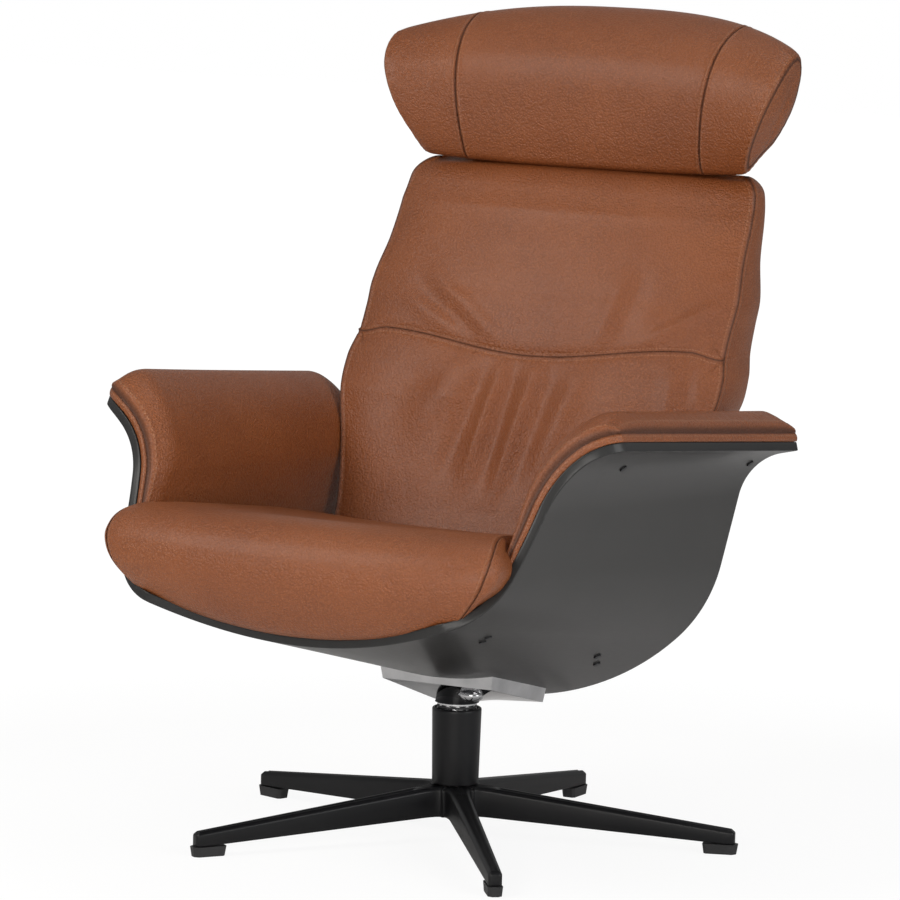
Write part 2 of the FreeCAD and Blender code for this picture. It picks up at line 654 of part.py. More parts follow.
def seat_section(across):
    """The cushion's side view at a distance from the middle."""
    share = abs(across) / size("seat_half_width")
    fall = size("seat_crown") * share ** 2 + size("seat_end_drop") * share ** 8
    back_set = size("seat_end_drop") * share ** 6
    lip = size("seat_lip") + back_set
    low = inner_height(abs(across), lip) + size("soft_gap")
    if share > size("seat_corner"):
        low = min(low, size("seat_end_low") - size("seat_end_rise") * (1 - share))
    top = size("seat_front_height") - fall
    board = size("board_front_height")
    front = Vector(across, size("seat_front") + back_set * 0.5, top)
    middle = max((low + top) / 2, size("seat_nose_height"))
    nose = Vector(across, size("seat_nose") + 2 * back_set, middle - 4)
    rear = Vector(across, size("seat_rear"), size("seat_rear_height") - fall)
    crown = (front + rear) * 0.5 + Vector(0, 0, size("seat_crown") * (1 - 0.7 * share ** 4))
    heel = Vector(across, size("seat_rear_foot"), size("board_rear_height") - size("seat_trim"))
    step = Vector(across, size("board_front") + size("seat_trim"),
                  max(board, low + 3) if share > 0.9 else board - size("seat_trim"))
    lip_point = Vector(across, lip, low)
    return wire([Part.Arc(lip_point, nose, front), Part.Arc(front, crown, rear), Part.LineSegment(rear, heel),
                 Part.LineSegment(heel, step), Part.LineSegment(step, lip_point)])


def seat_cushion():
    half = size("seat_half_width")
    places = [share * half for share in (-1, -0.94, -0.8, -0.5, 0, 0.5, 0.8, 0.94, 1)]
    loft = Part.makeLoft([seat_section(across) for across in places], True, False)
    cuts = []
    for side in (-1, 1):
        near = size("seat_between_pads")
        box = Part.makeBox(120, 600, 400, Vector(near if side > 0 else -near - 120, size("seat_step"), 200))
        cuts.append(box)
    clear = layer(-3, size("ply") + size("soft_gap")).common(kept_in_side_view(-size("soft_gap")))
    pads = [arm_pad(side) for side in (-1, 1)]
    pads += [arm_pad(side).translated(Vector(-side * size("pad_side_gap"), 0, 0)) for side in (-1, 1)]
    return loft.cut(cuts).cut(below_board()).cut(clear).cut(pads).removeSplitter()


def below_board():
    """All that lies under the plane of the board's top, from its front edge back."""
    front, rear, far = size("board_front"), size("board_rear") + 60, size("seat_half_width") + 20
    corners = [Vector(-far, front, board_height(front)), Vector(-far, rear, board_height(rear)),
               Vector(-far, rear, 0), Vector(-far, front, 0)]
    return Part.Face(Part.makePolygon(corners + corners[:1])).extrude(Vector(2 * far, 0, 0))


# Seat board and the two rails that carry it on the shell

def board_height(back):
    rise = (size("board_rear_height") - size("board_front_height")) / (size("board_rear") - size("board_front"))
    return size("board_front_height") + rise * (back - size("board_front"))


def seat_board():
    corners = []
    for across, back in ((size("board_half_width"), size("board_front")),
                         (size("board_wide"), size("board_widens")),
                         (size("board_wide"), size("board_rear"))):
        corners.append(Vector(across, back, board_height(back)))
    corners += [mirrored(corner) for corner in reversed(corners)]
    plate = Part.Face(Part.makePolygon(corners + corners[:1]))
    return plate.extrude(Vector(0, 0, -size("board_thickness")))


def seat_rail(back, inside, screws):
    """A rectangular tube across the shell, its ends cut to the shell's inner face."""
    def tube(inset):
        front, rear = back - size("rail_width") / 2 + inset, back + size("rail_width") / 2 - inset
        corners = []
        for where, drop in ((front, size("rail_height") - inset), (rear, size("rail_height") - inset),
                            (rear, inset), (front, inset)):
            corners.append(Vector(-300, where, board_height(where) - size("board_thickness") - drop))
        return Part.Face(Part.makePolygon(corners + corners[:1])).extrude(Vector(600, 0, 0))

    return tube(0).cut(tube(size("rail_wall"))).common(inside).cut(screws)


# Recline pivot: brackets on the shell, bolts, washers and nuts; bushes in the frame

def cylinder_across(radius, low, high, side):
    start = Vector(side * low, size("pivot_back"), size("pivot_height"))
    return Part.makeCylinder(radius, high - low, start, Vector(side, 0, 0))


def hexagon_across(radius, low, high, side):
    corners = []
    for index in range(7):
        turn = math.pi * index / 3
        corners.append(Vector(side * low, size("pivot_back") + radius * math.cos(turn),
                              size("pivot_height") + radius * math.sin(turn)))
    return Part.Face(Part.makePolygon(corners)).extrude(Vector(side * (high - low), 0, 0))


def ear_inner():
    return (size("frame_half_width") + size("lug_thickness") + 2 * size("pivot_gap") + size("pivot_washer"))


def pivot_bracket(side, inside, screws):
    """A foot that lies on the shell and an upright ear with the pivot hole."""
    ply, middle, half = size("ply"), size("foot_middle"), size("foot_half_length")
    near, far = ear_inner(), ear_inner() + size("ear_thickness")
    foot = layer(ply, ply + size("foot_thickness"))
    width = size("foot_width")
    foot = foot.common(Part.makeBox(width, 2 * half, 400, Vector(far - width, middle - half, 0)))
    high = size("pivot_height") + size("ear_radius") * 0.7
    low = size("pivot_height") - 110
    corners = [Vector(near, middle - half, low), Vector(near, middle + 1.5 * half, low),
               Vector(near, size("pivot_back") + size("ear_radius") * 0.94, size("pivot_height") - 6),
               Vector(near, size("pivot_back") - 8, high + 3), Vector(near, middle - half, high - 60)]
    ear = Part.Face(Part.makePolygon(corners + corners[:1])).extrude(Vector(far - near, 0, 0)).common(inside)
    disc = cylinder_across(size("ear_radius"), near, far, 1)
    bracket = foot.fuse([ear, disc]).cut(cylinder_across(size("pivot_radius"), near - 1, far + 1, 1))
    bracket = bracket.removeSplitter()
    if side < 0:
        bracket = bracket.mirror(Vector(), Vector(1, 0, 0))
    return bracket.cut(screws)


def pivot_parts(side, name):
    near = ear_inner()
    far = near + size("ear_thickness")
    inner = size("frame_half_width") - size("frame_tube")
    outer = size("frame_half_width") + size("lug_thickness")
    nut_top = inner - size("pivot_gap")
    nut_foot = nut_top - size("nut_height")
    shank = cylinder_across(size("pivot_radius"), nut_foot - 3, far, side)
    head = hexagon_across(size("bolt_head"), far, far + size("bolt_head_height"), side)
    feature("pivot_bolt_" + name, shank.fuse(head).removeSplitter())
    nut = hexagon_across(size("bolt_head"), nut_foot, nut_top, side)
    thread = cylinder_across(size("pivot_radius"), nut_foot - 1, nut_top + 1, side)
    feature("pivot_nut_" + name, nut.cut(thread))
    washer = cylinder_across(size("ear_radius") - 3, near - size("pivot_washer"), near, side)
    feature("pivot_washer_" + name, washer.cut(cylinder_across(size("pivot_radius"), near - 5, near + 1, side)))
    bush = cylinder_across(size("pivot_bush_radius"), inner, outer, side)
    bore = cylinder_across(size("pivot_radius") + size("running_gap"), inner - 1, outer + 1, side)
    feature("pivot_bush_" + name, bush.cut(bore))


# The frame of the back, in its own leaning plane: across, behind and up from the pivot line

def leaning():
    return Placement(Vector(0, size("pivot_back"), size("pivot_height")),
                     Rotation(Vector(1, 0, 0), -size("frame_lean")))


def up_frame(height):
    """The distance up the leaning plane to a height above the floor."""
    return (height - size("pivot_height")) / math.cos(math.radians(size("frame_lean")))


def in_frame(shape):
    shape.Placement = leaning().multiply(shape.Placement)
    return shape


def back_frame():
    tube, half = size("frame_tube"), size("frame_half_width")
    top = up_frame(size("frame_top"))
    solids, bores = [], []
    for side in (-1, 1):
        solids.append(in_frame(Part.makeCylinder(tube, top, Vector(side * half, 0, 0))))
        bores.append(in_frame(Part.makeCylinder(tube - size("frame_wall"), top - size("lug_radius") - 5,
                                                Vector(side * half, 0, size("lug_radius") + 3))))
        solids.append(cylinder_across(size("lug_radius"), half - tube, half + size("lug_thickness"), side))
        bores.append(cylinder_across(size("pivot_bush_radius"), half - tube - 1,
                                     half + size("lug_thickness") + 1, side))
    behind = size("stay_radius") + size("sleeve_wall")
    sleeve_top = up_frame(size("sleeve_top"))
    for middle in (sleeve_top - size("frame_plate_height"), sleeve_top - size("sleeve_length") + 17,
                   up_frame(size("back_foot")) + size("frame_plate_height")):
        solids.append(in_frame(Part.makeBox(2 * half, size("frame_plate"), size("frame_plate_height"),
                                            Vector(-half, behind, middle - size("frame_plate_height") / 2))))
    return solids[0].fuse(solids[1:]).cut(bores).removeSplitter()


def stay_line(side, radius, low, high):
    return in_frame(Part.makeCylinder(radius, high - low, Vector(side * size("stay_half_pitch"), 0, low)))


def headrest_carriage():
    """Sleeves stay with the frame; the stays and the cross rod slide in them."""
    top = up_frame(size("sleeve_top"))
    low = top - size("sleeve_length")
    rod_height = up_frame(size("tilt_height"))
    rod = in_frame(Part.makeCylinder(size("rod_radius"), 2 * size("rod_half_length"),
                                     Vector(-size("rod_half_length"), 0, rod_height), Vector(1, 0, 0)))
    for side, name in ((-1, "right"), (1, "left")):
        bore = stay_line(side, size("stay_radius") + size("running_gap"), low - 1, top + 1)
        tube = stay_line(side, size("stay_radius") + size("sleeve_wall"), low, top)
        feature("headrest_sleeve_" + name, tube.cut(bore))
        stay = stay_line(side, size("stay_radius"), up_frame(size("stay_foot")), rod_height)
        feature("headrest_stay_" + name, stay.cut(rod))
    feature("headrest_rod", rod)
    return rod


# Back cushion and cover: horizontal sections, one above the other

def back_front(height):
    return size("back_front") + (height - size("back_front_height")) * tan("back_front_lean")


def back_rear(height):
    rise = max(0, (height - size("back_rear_height")) / (size("back_top") - size("back_rear_height")))
    belly = size("back_rear_belly") * math.sin(math.pi * rise)
    return size("back_rear") + (height - size("back_rear_height")) * tan("back_rear_lean") + belly


def back_half_width(height):
    """Narrow between the arm pads, full above them, and drawn in at the top."""
    low, full = size("back_low_half_width"), size("back_half_width")
    rise = min(max((height - size("back_foot")) / (size("back_full_height") - size("back_foot")), 0), 1)
    width = low + (full - low) * rise ** 1.5
    over = max((height - size("back_front_height")) / (size("back_top") - size("back_front_height")), 0)
    return width - size("back_taper") * over ** 2 - size("back_shoulder") * over ** 16


def back_crown(height):
    share = (height - size("back_foot")) / (size("back_top") - size("back_foot"))
    return size("back_crown") * (1 - (2 * share - 1) ** 4) + 6


def back_section(height, draw):
    half, front, rear = back_half_width(height) - draw * 0.3, back_front(height) + draw * 0.5, back_rear(height)
    edge = half - size("back_side_bulge")
    left, right = Vector(-edge, front, height), Vector(edge, front, height)
    rear_left, rear_right = Vector(-edge, rear, height), Vector(edge, rear, height)
    middle = (front + rear) / 2
    return wire([
        Part.Arc(left, Vector(0, front - back_crown(height) + draw, height), right),
        Part.Arc(right, Vector(half, middle, height), rear_right), Part.LineSegment(rear_right, rear_left),
        Part.Arc(rear_left, Vector(-half, middle, height), left)])


def back_padding():
    """Two stretches that meet in the drawn-in cross seam."""
    foot, seam, top = size("back_foot"), size("back_front_height"), size("back_top")
    draw = size("back_seam_draw")
    lower = [(foot, 2), (foot + 0.3 * (seam - foot), 0), (foot + 0.7 * (seam - foot), 0),
             (seam - 26, 0), (seam, draw)]
    upper = [(seam, draw), (seam + 26, 0), (seam + 0.5 * (top - seam), 0), (top - 24, 0), (top - 6, 2),
             (top, 8)]
    halves = []
    for stretch in (lower, upper):
        halves.append(Part.makeLoft([back_section(height, pull) for height, pull in stretch], True, False))
    return halves[0].fuse(halves[1])


def back_cushion():
    """The padding, hollow behind for the frame."""
    cushion = back_padding()
    room = size("frame_tube") + size("frame_clearance")
    reach = size("frame_half_width") + size("lug_thickness") + size("frame_clearance")
    hollow = in_frame(Part.makeBox(2 * reach, 120, up_frame(size("frame_top")) + 60,
                                   Vector(-reach, -room, -50)))
    holes = [stay_line(side, size("stay_radius") + size("stay_hole_gap"), 0, up_frame(size("back_top")) + 60)
             for side in (-1, 1)]
    return cushion.cut([hollow] + holes).removeSplitter()


def back_cover():
    sections = []
    foot, top = size("back_foot"), size("back_top")
    for share in (0, 0.25, 0.5, 0.8, 0.95, 1):
        height = foot + share * (top - foot)
        half, rear = back_half_width(height) - size("back_side_bulge"), back_rear(height)
        edge, crown = size("cover_edge"), size("cover_crown") * (1 - (2 * share - 1) ** 4 * 0.7)
        front = rear - size("cover_lap")
        left, right = Vector(-half, front, height), Vector(half, front, height)
        low, high = Vector(half - 1, rear + edge, height), Vector(1 - half, rear + edge, height)
        sections.append(wire([Part.LineSegment(left, right), Part.LineSegment(right, low),
                              Part.Arc(low, Vector(0, rear + edge + crown, height), high),
                              Part.LineSegment(high, left)]))
    padding = back_padding().translated(Vector(0, size("frame_clearance"), 0))
    return Part.makeLoft(sections, True, False).cut(padding)


# Headrest: board with knuckles, and a cushion lofted across with wing ends

def headrest_board(rod):
    axis = rod.BoundBox.Center
    plate_front = axis.y + size("rod_radius") + size("running_gap")
    half, thick = size("board_plate_half_width"), size("board_plate")
    solids = [Part.makeBox(2 * half, thick, size("board_plate_height"),
                           Vector(-half, plate_front, axis.z - thick))]
    for side in (-1, 1):
        start = Vector(side * size("knuckle_middle") - size("knuckle_half_length"), axis.y, axis.z)
        solids.append(Part.makeCylinder(size("rod_radius") + size("knuckle_wall"), 2 * size("knuckle_half_length"),
                                        start, Vector(1, 0, 0)))
    bore = Part.makeCylinder(size("rod_radius") + size("running_gap"), 2 * half + 10,
                             Vector(-half - 5, axis.y, axis.z), Vector(1, 0, 0))
    return solids[0].fuse(solids[1:]).cut(bore).removeSplitter()


def headrest_section(across):
    share = abs(across) / size("headrest_half_width")
    top = size("headrest_top") - size("headrest_top_fall") * (0.4 * share ** 4 + 0.6 * share ** 12)
    rising = max(0, (share - size("headrest_corner")) / (1 - size("headrest_corner")))
    foot = size("headrest_foot") + size("headrest_foot_rise") * rising ** 1.4
    front = size("headrest_front") - size("headrest_wing") * share ** 4 + size("headrest_end_set") * share ** 40
    rear = size("headrest_rear") - size("headrest_rear_taper") * share ** 4
    tall, deep = top - foot, rear - front

    def point(back, up):
        return Vector(across, front + back * deep, foot + up * tall)

    first, last = point(0.06, 0), point(0.67, 0.02)
    return wire([Part.Arc(first, point(0, 0.42), point(0.2, 0.84)),
                 Part.Arc(point(0.2, 0.84), point(0.66, 1), point(1, 0.8)),
                 Part.Arc(point(1, 0.8), point(0.9, 0.4), last), Part.LineSegment(last, first)])


def headrest_cushion(rod):
    half = size("headrest_half_width")
    shares = (0, 0.4, 0.7, 0.8, 0.86, 0.93, 1)
    places = [-share * half for share in reversed(shares)] + [share * half for share in shares[1:]]
    loft = Part.makeLoft([headrest_section(across) for across in places], True, False)
    axis = rod.BoundBox.Center
    reach = size("board_plate_half_width") + size("headrest_pocket_gap")
    front = axis.y - size("headrest_pocket_front")
    rear = axis.y + size("rod_radius") + size("running_gap") + size("board_plate")
    height = axis.z - size("board_plate") + size("board_plate_height")
    pocket = Part.makeBox(2 * reach, rear - front, height - size("headrest_foot") + 20,
                          Vector(-reach, front, size("headrest_foot") - 20))
    return loft.cut(pocket)


def main():
    star_base()
    foot_glides()
    column()
    ring, middle = bearing()
    cage_windows(rollers(ring, middle))
    post()
    doc.recompute()
    collar = doc.getObject("post_collar").Shape
    inside = space_above(size("ply"))
    through = bracket_screws()
    groups = screw_pairs()
    cap = bracket_cap()
    feature("seat_bracket", seat_bracket(collar, through, cap))
    feature("bracket_cap", cap)
    feature("bracket_screws", Part.makeCompound(through))
    for name, screws in groups.items():
        feature(name, Part.makeCompound(screws))
    every_screw = through + [screw for screws in groups.values() for screw in screws]
    feature("shell", trimmed(layer(0, size("ply"))).cut(every_screw))
    for side, name in ((-1, "right"), (1, "left")):
        feature("arm_pad_" + name, arm_pad(side).cut(groups["arm_screws"]))
    feature("seat_cushion", seat_cushion())
    feature("seat_board", seat_board())
    feature("seat_rail_front", seat_rail(size("rail_front"), inside, groups["front_fitting_screws"]))
    feature("seat_rail_rear", seat_rail(size("rail_rear"), inside, groups["front_fitting_screws"]))
    for side, name in ((-1, "right"), (1, "left")):
        feature("pivot_bracket_" + name, pivot_bracket(side, inside, groups["pivot_bracket_screws"]))
        pivot_parts(side, name)
    feature("back_frame", back_frame())
    rod = headrest_carriage()
    feature("back_cushion", back_cushion())
    feature("back_cover", back_cover())
    feature("headrest_board", headrest_board(rod))
    feature("headrest_cushion", headrest_cushion(rod))


def write_parts():
    os.makedirs("parts", exist_ok=True)
    doc.recompute()
    for thing in doc.Objects:
        if "Invalid" in thing.State or "Error" in thing.State:
            raise ValueError("%s did not build" % thing.Label)
    for thing in PARTS:
        if thing.Shape.isNull() or not thing.Shape.isValid():
            raise ValueError("%s has no sound shape" % thing.Label)
    for thing in PARTS:
        thing.Shape.exportStep("parts/%s.step" % thing.Label)
        print(thing.Label, len(thing.Shape.Solids), round(thing.Shape.Volume))


main()
write_parts()
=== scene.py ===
import json
import math

import bmesh
import bpy
import numpy as np
from mathutils import Matrix, Vector


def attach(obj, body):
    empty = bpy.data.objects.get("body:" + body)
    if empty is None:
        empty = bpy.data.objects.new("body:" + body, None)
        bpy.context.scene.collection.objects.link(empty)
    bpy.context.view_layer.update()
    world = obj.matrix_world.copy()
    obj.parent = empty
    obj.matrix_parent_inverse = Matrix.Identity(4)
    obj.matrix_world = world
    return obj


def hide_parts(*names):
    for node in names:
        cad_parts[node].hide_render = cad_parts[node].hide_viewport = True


# Looks of a swivel recliner on a star base: leather, stained ply, castings, light and camera.
# Shapes are worked out in millimetres and become metres when a mesh is made.

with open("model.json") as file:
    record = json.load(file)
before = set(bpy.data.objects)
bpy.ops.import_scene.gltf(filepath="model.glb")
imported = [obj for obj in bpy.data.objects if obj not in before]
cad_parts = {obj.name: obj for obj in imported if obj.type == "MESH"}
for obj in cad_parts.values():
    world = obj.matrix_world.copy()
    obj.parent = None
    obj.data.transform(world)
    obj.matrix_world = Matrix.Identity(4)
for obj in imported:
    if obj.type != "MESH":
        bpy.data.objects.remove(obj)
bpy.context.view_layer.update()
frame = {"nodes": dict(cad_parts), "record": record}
MM = 0.001

# The shell's outer surface runs straight between two stations, each a tangent chain of arcs and lines
FRONT = {"back": -480, "base": 327, "bottom": 734, "turn": 16.8, "corner": 97, "lean": 77.8, "side": 73.5,
         "flare": 126, "rise": 23, "arm": 5}
REAR = {"back": 260, "base": 142, "bottom": 318, "turn": 49, "corner": 201, "lean": 83, "side": 96,
        "flare": 66, "rise": 13, "arm": 24}
PLY = 12
ARM_FRONT = (-303, 590)
WAIST = (-350, 481)
NOSE = (-449, 358)
LIP = (-420, 312)
REAR_EDGE = (141, 176)
REAR_TILT = 14
NO_SEAM = 99.0
SEAM_GROOVE, SEAM_SWELL, SEAM_SWELL_AT = 1.4, 2.2, 4


# Points, curves and grids

def through(points, places, closed=False):
    """A smooth line through points, at places that count them from 0. Each stretch is the cubic whose slope
    at a point is half the step between that point's two neighbours."""
    points = np.asarray(points, float)
    places = np.asarray(places, float)
    count = len(points)
    start = np.floor(places).astype(int)
    if not closed:
        start = np.clip(start, 0, count - 2)
    part = places - start
    if points.ndim > 1:
        part = part[..., None]

    def at(index):
        return points[index % count] if closed else points[np.clip(index, 0, count - 1)]

    before, first, last, after = at(start - 1), at(start), at(start + 1), at(start + 2)
    bend = 2 * before - 5 * first + 4 * last - after + part * (3 * (first - last) + after - before)
    return first + 0.5 * part * (last - before + part * bend)


def spaced(start, stop, step, seams=(), fine=0.8, reach=8.0):
    """Places from start to stop, about one step apart, and finer within reach of each seam."""
    marks = [np.linspace(start, stop, max(2, int(round((stop - start) / step)) + 1))]
    for seam in seams:
        marks.append(seam + np.arange(-reach, reach + fine / 2, fine))
    merged = np.unique(np.round(np.clip(np.concatenate(marks), start, stop), 5))
    keep = np.diff(merged, append=stop + step) > 0.45 * (fine if len(seams) else step)
    keep[0] = keep[-1] = True
    return merged[keep]


def smooth_step(value, low, high):
    """0 below low, 1 above high, and 3t2 - 2t3 between them."""
    share = np.clip((value - low) / (high - low), 0, 1)
    return share * share * (3 - 2 * share)


def quarter_round(distance, radius):
    """The height of a quarter circle of radius 1 that starts at distance 0 and is level past radius."""
    return np.sqrt(np.clip(1 - (1 - np.clip(distance / radius, 0, 1)) ** 2, 0, 1))


def seam_relief(distance, depth=2.0, swell=0.7):
    """Leather at a seam: a narrow groove, exp(-(d / 1.4)^2), between two low swells 4 mm from it."""
    distance = np.abs(distance)
    raised = np.exp(-((distance - SEAM_SWELL_AT) / SEAM_SWELL) ** 2)
    return swell * raised - depth * np.exp(-(distance / SEAM_GROOVE) ** 2)


def crease(across, up, start, stop, width):
    """A fold between two places: exp(-(d / width)^2) of the distance d to the line, gone at its two ends."""
    run = np.array([stop[0] - start[0], stop[1] - start[1]], float)
    length = np.hypot(*run)
    along = ((across - start[0]) * run[0] + (up - start[1]) * run[1]) / length
    aside = ((across - start[0]) * run[1] - (up - start[1]) * run[0]) / length
    fade_in = smooth_step(along, -0.15 * length, 0.3 * length)
    fade_out = smooth_step(along, 0.6 * length, 1.15 * length)
    return np.exp(-(aside / width) ** 2) * (fade_in * (1 - fade_out))


def pushed(grid, height):
    """The grid moved by a height at each point along its normals, the cross product of its two directions."""
    normal = np.cross(np.gradient(grid, axis=0), np.gradient(grid, axis=1))
    normal /= np.linalg.norm(normal, axis=-1, keepdims=True) + 1e-9
    return grid + normal * height[..., None]


class Patches:
    """Grids of points that together close one piece; each point may know its place along and off a seam."""

    def __init__(self):
        self.points, self.faces, self.off, self.run = [], [], [], []
        self.count = 0

    def add(self, grid, off=None, run=None, closed=False):
        """Adds a grid of rows and columns; closed joins its last column to its first."""
        rows, columns = grid.shape[:2]
        row = np.arange(rows - 1)[:, None]
        column = np.arange(columns if closed else columns - 1)[None, :]
        following = (column + 1) % columns
        corners = [row * columns + column, row * columns + following, (row + 1) * columns + following,
                   (row + 1) * columns + column]
        faces = np.stack([np.broadcast_to(corner, (rows - 1, column.size)) for corner in corners], -1)
        self.faces.append(faces.reshape(-1, 4) + self.count)
        self.points.append(grid.reshape(-1, 3))
        for store, values in ((self.off, off), (self.run, run)):
            values = NO_SEAM if values is None else values
            store.append(np.broadcast_to(np.asarray(values, float), (rows, columns)).reshape(-1))
        self.count += rows * columns
        return self

    def piece(self, name, material, body, slot, nodes=(), weld=0.02):
        """One mesh of all the grids, its borders welded and its faces turned outwards."""
        points = np.concatenate(self.points) * MM
        faces = np.concatenate(self.faces)
        mesh = bpy.data.meshes.new(name)
        mesh.vertices.add(len(points))
        mesh.vertices.foreach_set("co", points.ravel())
        mesh.loops.add(4 * len(faces))
        mesh.loops.foreach_set("vertex_index", faces.ravel().astype(np.int32))
        mesh.polygons.add(len(faces))
        mesh.polygons.foreach_set("loop_start", np.arange(0, 4 * len(faces), 4, dtype=np.int32))
        for label, stored in (("seam_off", self.off), ("seam_run", self.run)):
            attribute = mesh.attributes.new(label, "FLOAT", "POINT")
            attribute.data.foreach_set("value", np.concatenate(stored).astype(np.float32))
        mesh.update(calc_edges=True)
        shape = bmesh.new()
        shape.from_mesh(mesh)
        bmesh.ops.remove_doubles(shape, verts=shape.verts, dist=weld * MM)
        bmesh.ops.recalc_face_normals(shape, faces=shape.faces)
        shape.to_mesh(mesh)
        shape.free()
        mesh.polygons.foreach_set("use_smooth", np.ones(len(mesh.polygons), bool))
        return dress(bpy.data.objects.new(name, mesh), material, body, nodes)


def dress(piece, material, body, nodes=()):
    """Links a finished piece, gives it its material and tells the frame where it belongs."""
    bpy.context.scene.collection.objects.link(piece)
    piece.data.materials.clear()
    piece.data.materials.append(material)
    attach(piece, body)
    if nodes:
        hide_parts(*nodes)
    return piece


# The moulded shell

def half_section(end, along, depth):
    """A point of the right half of a station, depth inside it. Along counts its runs from the middle: a
    bottom arc, a corner arc, a straight side, a flare arc and a straight arm. An arc from angle a to angle b
    adds radius * (sin b - sin a) across and radius * (cos a - cos b) up."""
    turn, lean, rise = (math.radians(end[name]) for name in ("turn", "lean", "rise"))
    bottom, corner, flare = end["bottom"] - depth, end["corner"] - depth, end["flare"] + depth
    runs = [np.clip(along - index, 0, 1) for index in range(4)] + [np.maximum(along - 4, 0)]
    first = turn * runs[0]
    second = turn + (lean - turn) * runs[1]
    third = lean + (rise - lean) * runs[3]
    across = (bottom * np.sin(first) + corner * (np.sin(second) - math.sin(turn))
              + end["side"] * runs[2] * math.cos(lean) + flare * (math.sin(lean) - np.sin(third))
              + end["arm"] * runs[4] * math.cos(rise))
    up = (end["base"] + depth + bottom * (1 - np.cos(first)) + corner * (math.cos(turn) - np.cos(second))
          + end["side"] * runs[2] * math.sin(lean) + flare * (np.cos(third) - math.cos(lean))
          + end["arm"] * runs[4] * math.sin(rise))
    return across, up


def shell_point(along, back, depth):
    """A point depth inside the shell: a straight line joins the same place of both stations. The sign of
    along is the side."""
    along, back, depth = np.broadcast_arrays(*(np.asarray(value, float) for value in (along, back, depth)))
    share = (back - FRONT["back"]) / (REAR["back"] - FRONT["back"])
    front, rear = half_section(FRONT, np.abs(along), depth), half_section(REAR, np.abs(along), depth)
    across, up = (low + (high - low) * share for low, high in zip(front, rear))
    return np.stack([np.sign(along) * across, back, up], -1)


def circle_through(first, middle, last):
    """Centre and radius of the circle through three places."""
    rows = 2 * np.array([np.subtract(middle, first), np.subtract(last, first)], float)
    squares = [np.dot(place, place) - np.dot(first, first) for place in (middle, last)]
    centre = np.linalg.solve(rows, squares)
    return centre, float(np.hypot(*(centre - np.array(first))))


EDGE_CENTRE, EDGE_RADIUS = circle_through(ARM_FRONT, WAIST, NOSE)
ARM_EDGE, ARM_CORNER = 374.0, 46.0
REACH_PASSES = 60


def front_edge(across, up):
    """How far forward the shell reaches: a circular waist and a straight lip in side view, and in plan a
    quarter of a circle at the arm's outer corner."""
    arc = EDGE_CENTRE[0] + np.sqrt(np.clip(EDGE_RADIUS ** 2 - (up - EDGE_CENTRE[1]) ** 2, 0, None))
    lip = NOSE[0] + (up - NOSE[1]) * (NOSE[0] - LIP[0]) / (NOSE[1] - LIP[1])
    side = np.where(up > ARM_FRONT[1], ARM_FRONT[0], np.where(up < NOSE[1], lip, arc))
    return side + ARM_CORNER * (1 - quarter_round(ARM_EDGE - np.abs(across), ARM_CORNER))


def shell_reach(along, depth, inset=0.0):
    """The front and rear ends of the shell at a place along its section, by repeated substitution."""
    front, rear = np.full(np.shape(along), -380.0), np.full(np.shape(along), 180.0)
    for _ in range(REACH_PASSES):
        point = shell_point(along, front, depth)
        front = 0.5 * front + 0.5 * front_edge(point[..., 0], point[..., 2])
        point = shell_point(along, rear, depth)
        rear = REAR_EDGE[0] + (point[..., 2] - REAR_EDGE[1]) * math.tan(math.radians(REAR_TILT))
    return front + inset, rear - inset


def ply_shell(material):
    """The shell as two skins 12 mm apart whose edges are rounded to 1.5 mm: within 1.5 mm of an edge the
    skins come nearer by a quarter circle."""
    runs = [spaced(run, run + 1, step) for run, step in enumerate((0.04, 0.045, 0.06, 0.028, 0.08))]
    along = np.unique(np.concatenate(runs + [[4.88, 4.94, 4.97, 4.985, 4.995]]))
    along = np.concatenate([-along[:0:-1], along])
    length = np.concatenate([[0, 0.3, 0.8, 1.5, 3, 6], np.linspace(14, 100, 8)]) / 100
    fine, edge_round = 0.12, 1.5
    share = np.concatenate([length * fine, np.linspace(fine, 1 - fine, 60)[1:-1], 1 - length[::-1] * fine])
    skins = []
    for depth in (0.0, float(PLY)):
        front, rear = shell_reach(along, PLY / 2)
        back = front[:, None] + share[None, :] * (rear - front)[:, None]
        middle = shell_point(along[:, None], back, PLY / 2)
        steps = np.linalg.norm(np.diff(middle, axis=0), axis=-1)
        arm_left = np.concatenate([np.cumsum(steps[::-1], 0)[::-1], np.zeros((1, steps.shape[1]))])
        arm_right = np.concatenate([np.zeros((1, steps.shape[1])), np.cumsum(steps, 0)])
        edge = np.minimum.reduce([back - front[:, None], rear[:, None] - back, arm_left, arm_right])
        drop = edge_round * (1 - quarter_round(edge, edge_round))
        side = 1 if depth == 0 else -1
        skins.append(shell_point(along[:, None], back, depth + side * drop))
    outer, inner = skins
    patches = Patches().add(outer, edge).add(inner, edge)
    for low, high in ((outer[0], inner[0]), (outer[-1], inner[-1]), (outer[:, 0], inner[:, 0]),
                      (outer[:, -1], inner[:, -1])):
        rows = np.linspace(0, 1, 4)[:, None, None]
        patches.add(low[None] + (high - low)[None] * rows, 0.0)
    return patches.piece("shell_looks", material, "seat", "stained_ply", ["shell"])


# Arm pads

PAD_START, PAD_STOP = 1.8, 5
PAD_FULL = [14, 19, 29, 39, 46, 45, 41]
PAD_BOXING = [9, 10, 11, 12, 13, 13.5, 13.5]
PAD_BROW = [22, 26, 32, 40, 58, 74, 78]
PAD_LENGTH, PAD_OUTER_ROUND, PAD_REAR_ROUND = 560, 34, 40
PAD_GAP, PAD_OVERHANG, PAD_SWELL = 0.4, 3.0, 2.2
RUN_LENGTH = 80


